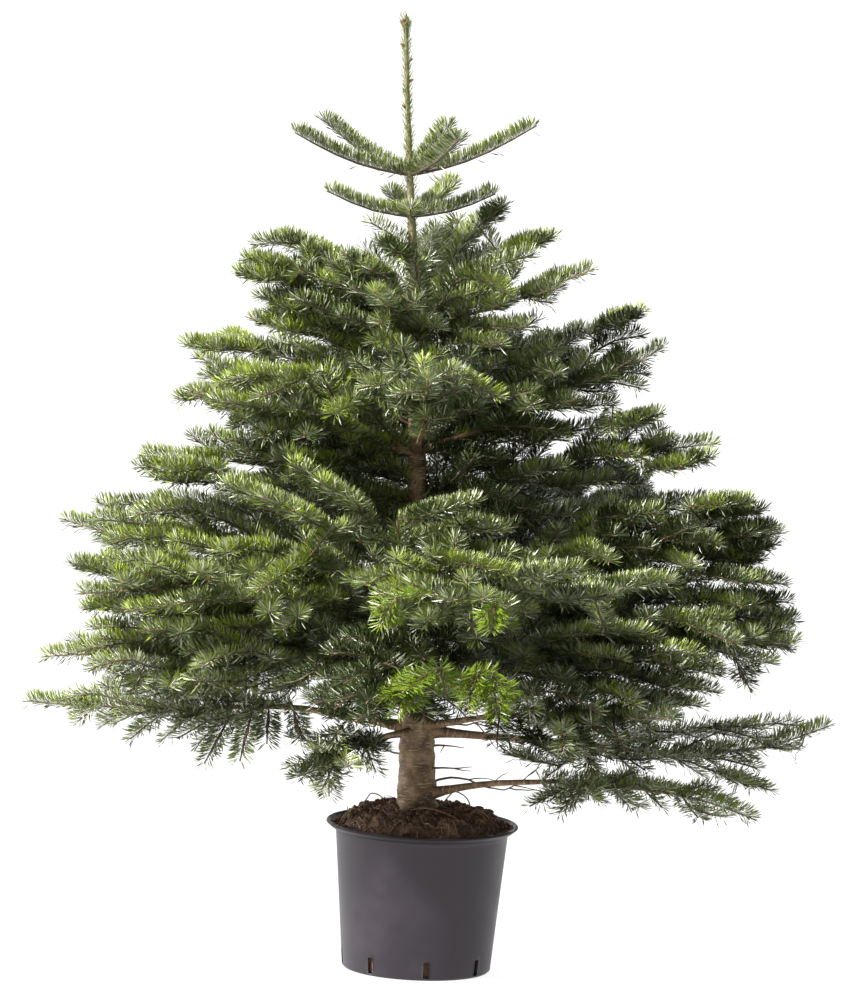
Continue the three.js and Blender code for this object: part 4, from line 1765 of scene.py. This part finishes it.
def makePot():
    sides = potSet["sides"]
    first = math.radians(potSet["firstSlot"] - 360.0 / sides)
    angle = first + np.arange(sides) * (2 * math.pi / sides)
    sway = potSet["sway"] / potRim * (np.sin(2 * angle + 0.7) + 0.5 * np.sin(3 * angle))

    def ring(radius, height):
        return ringAt(radius * (1 + sway * np.clip(height / potHeight, 0, 1) ** 2), angle, height)

    under, outer, lip, inner, floorRings = potRings(ring)
    rings = under + outer + lip + inner + floorRings
    lipFirst = len(under) + len(outer)
    dullFrom, dullTo = lipFirst + potSet["lipSteps"] - 2, lipFirst + len(lip) - 1
    # first points of the rings that bound the slots, from the sill up
    rows = np.arange(1, potSet["slotRows"] + 2)
    outside = sides * (len(under) + rows)
    inside = sides * (lipFirst + len(lip) + len(inner) - 1 - rows)
    column = np.arange(sides)
    following = (column + 1) % sides
    inCell = column % (sides // potSet["slots"])
    inSlot = inCell < potSet["slotSides"]
    faces, slots = [], []

    def quads(a, b, c, d, slot=0):
        faces.append(np.stack([a, b, c], axis=1))
        faces.append(np.stack([a, c, d], axis=1))
        slots.append(np.full(2 * len(a), slot))

    for k in range(len(rings) - 1):
        low, high = k * sides, (k + 1) * sides
        keep = ~inSlot if low in outside[:-1] or low in inside[1:] else np.ones(sides, bool)
        here, there = column[keep], following[keep]
        quads(low + here, low + there, high + there, high + here, int(dullFrom <= k < dullTo))
    left, right = column[inCell == 0], column[inCell == potSet["slotSides"]]
    for a, b, c, d in zip(outside[:-1], outside[1:], inside[:-1], inside[1:]):
        # cheeks of the slots
        quads(a + left, b + left, d + left, c + left)
        quads(b + right, a + right, c + right, d + right)
    # and their sills and heads
    here, there = column[inSlot], following[inSlot]
    quads(outside[0] + here, outside[0] + there, inside[0] + there, inside[0] + here)
    quads(outside[-1] + there, outside[-1] + here, inside[-1] + here, inside[-1] + there)
    return np.concatenate(rings), np.concatenate(faces), np.concatenate(slots)


potPoints, potFaces, potSlots = makePot()
potPlastic = [potMaterial("pot_plastic", potFinish["shine"]),
              potMaterial("pot_lip", potFinish["lipShine"])]
potPiece = joinedPiece("pot_shell", potPoints, potFaces, potPlastic, potSlots)
finishPiece(potPiece, "pot_plastic", "pot")

# soil

soilSet = {
    "sides": 220,
    "rings": 84,
    "middle": 0.006,
    "grain": ((22.0, 0.0042), (64.0, 0.0042), (170.0, 0.0034)),
    "placeEdge": 0.006,  # clods and straws start this far in
    "jitter": 0.0004,
    "jitterTo": 0.002,
    "edgeFade": 0.022,
    "edgeLeast": 0.25,
    "belowLip": 0.0042,
    "fromLip": 0.0050,
    "inside": 0.0040,
    "overCollar": 0.004,
    "lowRing": 0.030,
    "overFloor": 0.0006,
}
clodSet = {
    "count": 1500,
    "size": (0.0010, 0.0036),
    "bigEach": 12,
    "bigger": 1.9,
    "rough": 0.38,
    "roughScale": 1.7,
    "squash": (0.6, 1.2),
    "proud": 0.2,
    "chips": 0.12,  # share that are bark
    "nearest": 0.042,  # to the middle of the pot
}
strawSet = {
    "count": 240,
    "length": (0.006, 0.040),
    "radius": (0.00026, 0.00056),
    "bend": 22,
    "wander": 0.12,
    "step": 0.005,
    "lifted": 0.3,
    "lift": (0.0, 0.006),
    "proud": 0.0009,
    "nearest": 0.046,
    "stop": 0.004,  # from the edge of the peat
}
soilTree = nodeTree("soil")


def soilTop(x, y):
    # height of the loose peat at a place
    hit = soilTree.ray_cast(Vector((x, y, 1.0)), Vector((0, 0, -1)), 2.0)
    base = max(hit[0].z if hit[0] is not None else 0.0, potHeight - soilSet["belowLip"])
    inward = (soilReach - math.hypot(x, y)) / soilSet["edgeFade"]
    fade = min(1.0, max(soilSet["edgeLeast"], inward))
    for scale, height in soilSet["grain"]:
        base += fade * height * noise.noise(Vector((x * scale, y * scale, scale)))
    return base


soilReach = potRim - soilSet["fromLip"]


peatFinish = {
    "clumps": (38.0, 6.0, 0.7),
    "crumbs": (210.0, 5.0, 0.75),
    "fibres": (620.0, 2.0, 0.6, (1, 0.3, 1)),
    "toneSteps": (0.36, 0.52, 0.68),
    "tones": ((0.030, 0.019, 0.014), (0.122, 0.073, 0.053), (0.270, 0.175, 0.122)),
    "crumbSpan": (0.40, 0.66, 0.0, 0.55),
    "crumbTone": (0.215, 0.128, 0.084),
    "fibreSpan": (0.68, 0.74, 0.0, 0.7),
    "fibreTone": (0.330, 0.220, 0.130),
    "rough": 0.92,
    "specular": 0.2,
    "bump": (0.9, 0.004),
}


def peatMaterial():
    finish = {"Roughness": peatFinish["rough"], "Specular IOR Level": peatFinish["specular"]}
    material, wiring, shader = newMaterial("peat", finish)
    place = wiring.nodes.new("ShaderNodeTexCoord").outputs["Object"]
    clumps = wiring.noise(place, *peatFinish["clumps"])
    crumbs = wiring.noise(place, *peatFinish["crumbs"])
    fibres = wiring.noise(place, *peatFinish["fibres"])
    colour = wiring.ramp(clumps, peatFinish["toneSteps"], peatFinish["tones"])
    colour = wiring.mix(wiring.span(crumbs, *peatFinish["crumbSpan"]), colour, peatFinish["crumbTone"])
    colour = wiring.mix(wiring.span(fibres, *peatFinish["fibreSpan"]), colour, peatFinish["fibreTone"])
    wiring.links.new(colour, shader.inputs["Base Color"])
    wiring.bump(shader, crumbs, *peatFinish["bump"])
    return material


def soilSurface(gathered):
    sides = soilSet["sides"]
    angle = np.arange(sides) * (2 * math.pi / sides)
    rings = []
    for reach in np.linspace(soilSet["middle"], soilReach, soilSet["rings"]):
        jitter = dice.normal(0, soilSet["jitter"], sides)
        reach = np.full(sides, reach) + jitter * (reach < soilReach - soilSet["jitterTo"])
        x, y = reach * np.cos(angle), reach * np.sin(angle)
        rings.append(ringAt(reach, angle, [soilTop(a, b) for a, b in zip(x, y)]))
    for height in (potCollar + soilSet["overCollar"], potCollar, potCollar * 0.5,
                   soilSet["lowRing"], potSet["floor"] + soilSet["overFloor"]):
        reach = min(potRadius(height) - potSet["wall"] - soilSet["inside"], soilReach)
        rings.append(ringAt(reach, angle, height))
    faces = bandTriangles(len(rings), sides)[:, [0, 2, 1]]
    gathered.add(np.concatenate(rings), faces, np.zeros(len(faces), int))


def lump(subdivisions):
    mesh = bmesh.new()
    bmesh.ops.create_icosphere(mesh, subdivisions=subdivisions, radius=1.0)
    points = np.array([v.co[:] for v in mesh.verts])
    faces = np.array([[v.index for v in f.verts] for f in mesh.faces])
    mesh.free()
    return points, faces


def soilPlace(nearest):
    angle = dice.uniform(0, 2 * math.pi)
    reach = math.sqrt(dice.uniform(nearest ** 2, (soilReach - soilSet["placeEdge"]) ** 2))
    return reach * math.cos(angle), reach * math.sin(angle)


def soilClods(gathered):
    fine, coarse = lump(1), lump(2)
    for k in range(clodSet["count"]):
        x, y = soilPlace(clodSet["nearest"])
        big = k % clodSet["bigEach"] == 0
        size = dice.uniform(*clodSet["size"]) * (clodSet["bigger"] if big else 1.0)
        points, faces = coarse if big else fine
        spots = [Vector(p) * clodSet["roughScale"] + Vector((k, 0, 0)) for p in points]
        rough = 1 + clodSet["rough"] * np.array([noise.noise(spot) for spot in spots])
        shape = points * rough[:, None] * size * dice.uniform(*clodSet["squash"], 3)
        place = np.array([x, y, soilTop(x, y) + size * clodSet["proud"]])
        gathered.add(shape + place, faces, np.full(len(faces), int(dice.random() < clodSet["chips"])))


def soilStraws(gathered):
    for k in range(strawSet["count"]):
        x, y = soilPlace(strawSet["nearest"])
        length = dice.uniform(*strawSet["length"])
        heading, bend = dice.uniform(0, 2 * math.pi), dice.normal(0, strawSet["bend"])
        count = max(4, int(length / strawSet["step"]))
        lift = dice.uniform(*strawSet["lift"]) if dice.random() < strawSet["lifted"] else 0.0
        path = []
        for i in range(count + 1):
            if math.hypot(x, y) > soilReach - strawSet["stop"]:
                break
            height = soilTop(x, y) + strawSet["proud"] + lift * math.sin(math.pi * i / count)
            path.append((x, y, height))
            heading += bend * length / count + dice.normal(0, strawSet["wander"])
            x += math.cos(heading) * length / count
            y += math.sin(heading) * length / count
        if len(path) > 3:
            radius = dice.uniform(*strawSet["radius"])
            radii = np.linspace(radius, radius * 0.5, len(path))
            gathered.addTube(np.array(path), radii, 5, looseSlot["straw" if k % 3 else "root_tan"])


rootArcs = [
    # start, end, height of the arch, radius
    {"from": (-0.098, 0.030), "to": (-0.062, 0.050), "arch": 0.020, "radius": 0.0010},
    {"from": (0.030, 0.046), "to": (0.074, 0.060), "arch": 0.024, "radius": 0.0011},
    {"from": (-0.020, -0.044), "to": (0.058, -0.078), "arch": 0.012, "radius": 0.0012},
    {"from": (0.070, -0.050), "to": (0.104, -0.040), "arch": 0.015, "radius": 0.0008},
    {"from": (-0.104, -0.052), "to": (-0.088, -0.090), "arch": 0.012, "radius": 0.0008},
]
rootSet = {"points": 16, "wave": 0.002, "waves": 9, "sunk": 0.001, "power": 0.7}
sprout = {
    "at": (-0.116, -0.034),
    "blades": 5,
    "turn": 2.1,
    "lean": 0.35,
    "length": 0.024,
    "lengthSpread": (0.6, 1.0),
    "radius": 0.0009,
    "tipRadius": 0.0003,
    "points": 7,
}
looseTones = {
    # colour and roughness
    "straw": ((0.46, 0.32, 0.17), 0.7),
    "root_tan": ((0.235, 0.130, 0.060), 0.7),
    "sprout": ((0.230, 0.300, 0.040), 0.6),
}
looseSlot = {name: slot for slot, name in enumerate(looseTones)}


def soilRoots(gathered):
    for arc in rootArcs:
        share = np.linspace(0, 1, rootSet["points"])
        (x0, y0), (x1, y1) = arc["from"], arc["to"]
        x = x0 + (x1 - x0) * share + rootSet["wave"] * np.sin(share * rootSet["waves"])
        y = y0 + (y1 - y0) * share
        low = np.interp(share, (0, 1), (soilTop(x0, y0), soilTop(x1, y1))) - rootSet["sunk"]
        path = np.column_stack([x, y, low + arc["arch"] * np.sin(math.pi * share) ** rootSet["power"]])
        gathered.addTube(path, np.full(len(path), arc["radius"]), 7, looseSlot["root_tan"])
    base = np.array([*sprout["at"], soilTop(*sprout["at"])])
    share = np.linspace(0, 1, sprout["points"])[:, None]
    radii = np.linspace(sprout["radius"], sprout["tipRadius"], sprout["points"])
    for k in range(sprout["blades"]):
        lean = bearing(k * sprout["turn"]) * sprout["lean"]
        length = sprout["length"] * dice.uniform(*sprout["lengthSpread"])
        gathered.addTube(base + (upward + lean * share) * share * length, radii, 5, looseSlot["sprout"])


soilGathered = Gathered()
soilSurface(soilGathered)
soilClods(soilGathered)
looseGathered = Gathered()
soilStraws(looseGathered)
soilRoots(looseGathered)
print("soil triangles", soilGathered.triangleCount(), "loose", looseGathered.triangleCount())
barkChips = plainMaterial("bark_chips", (0.085, 0.050, 0.030), 0.85)
soilPiece = soilGathered.piece("peat", [peatMaterial(), barkChips])
finishPiece(soilPiece, "soil", "soil")
looseMaterials = [plainMaterial(name, *finish) for name, finish in looseTones.items()]
finishPiece(looseGathered.piece("roots_and_straws", looseMaterials), "soil")

placeCamera()
layFloor()
lightStudio()
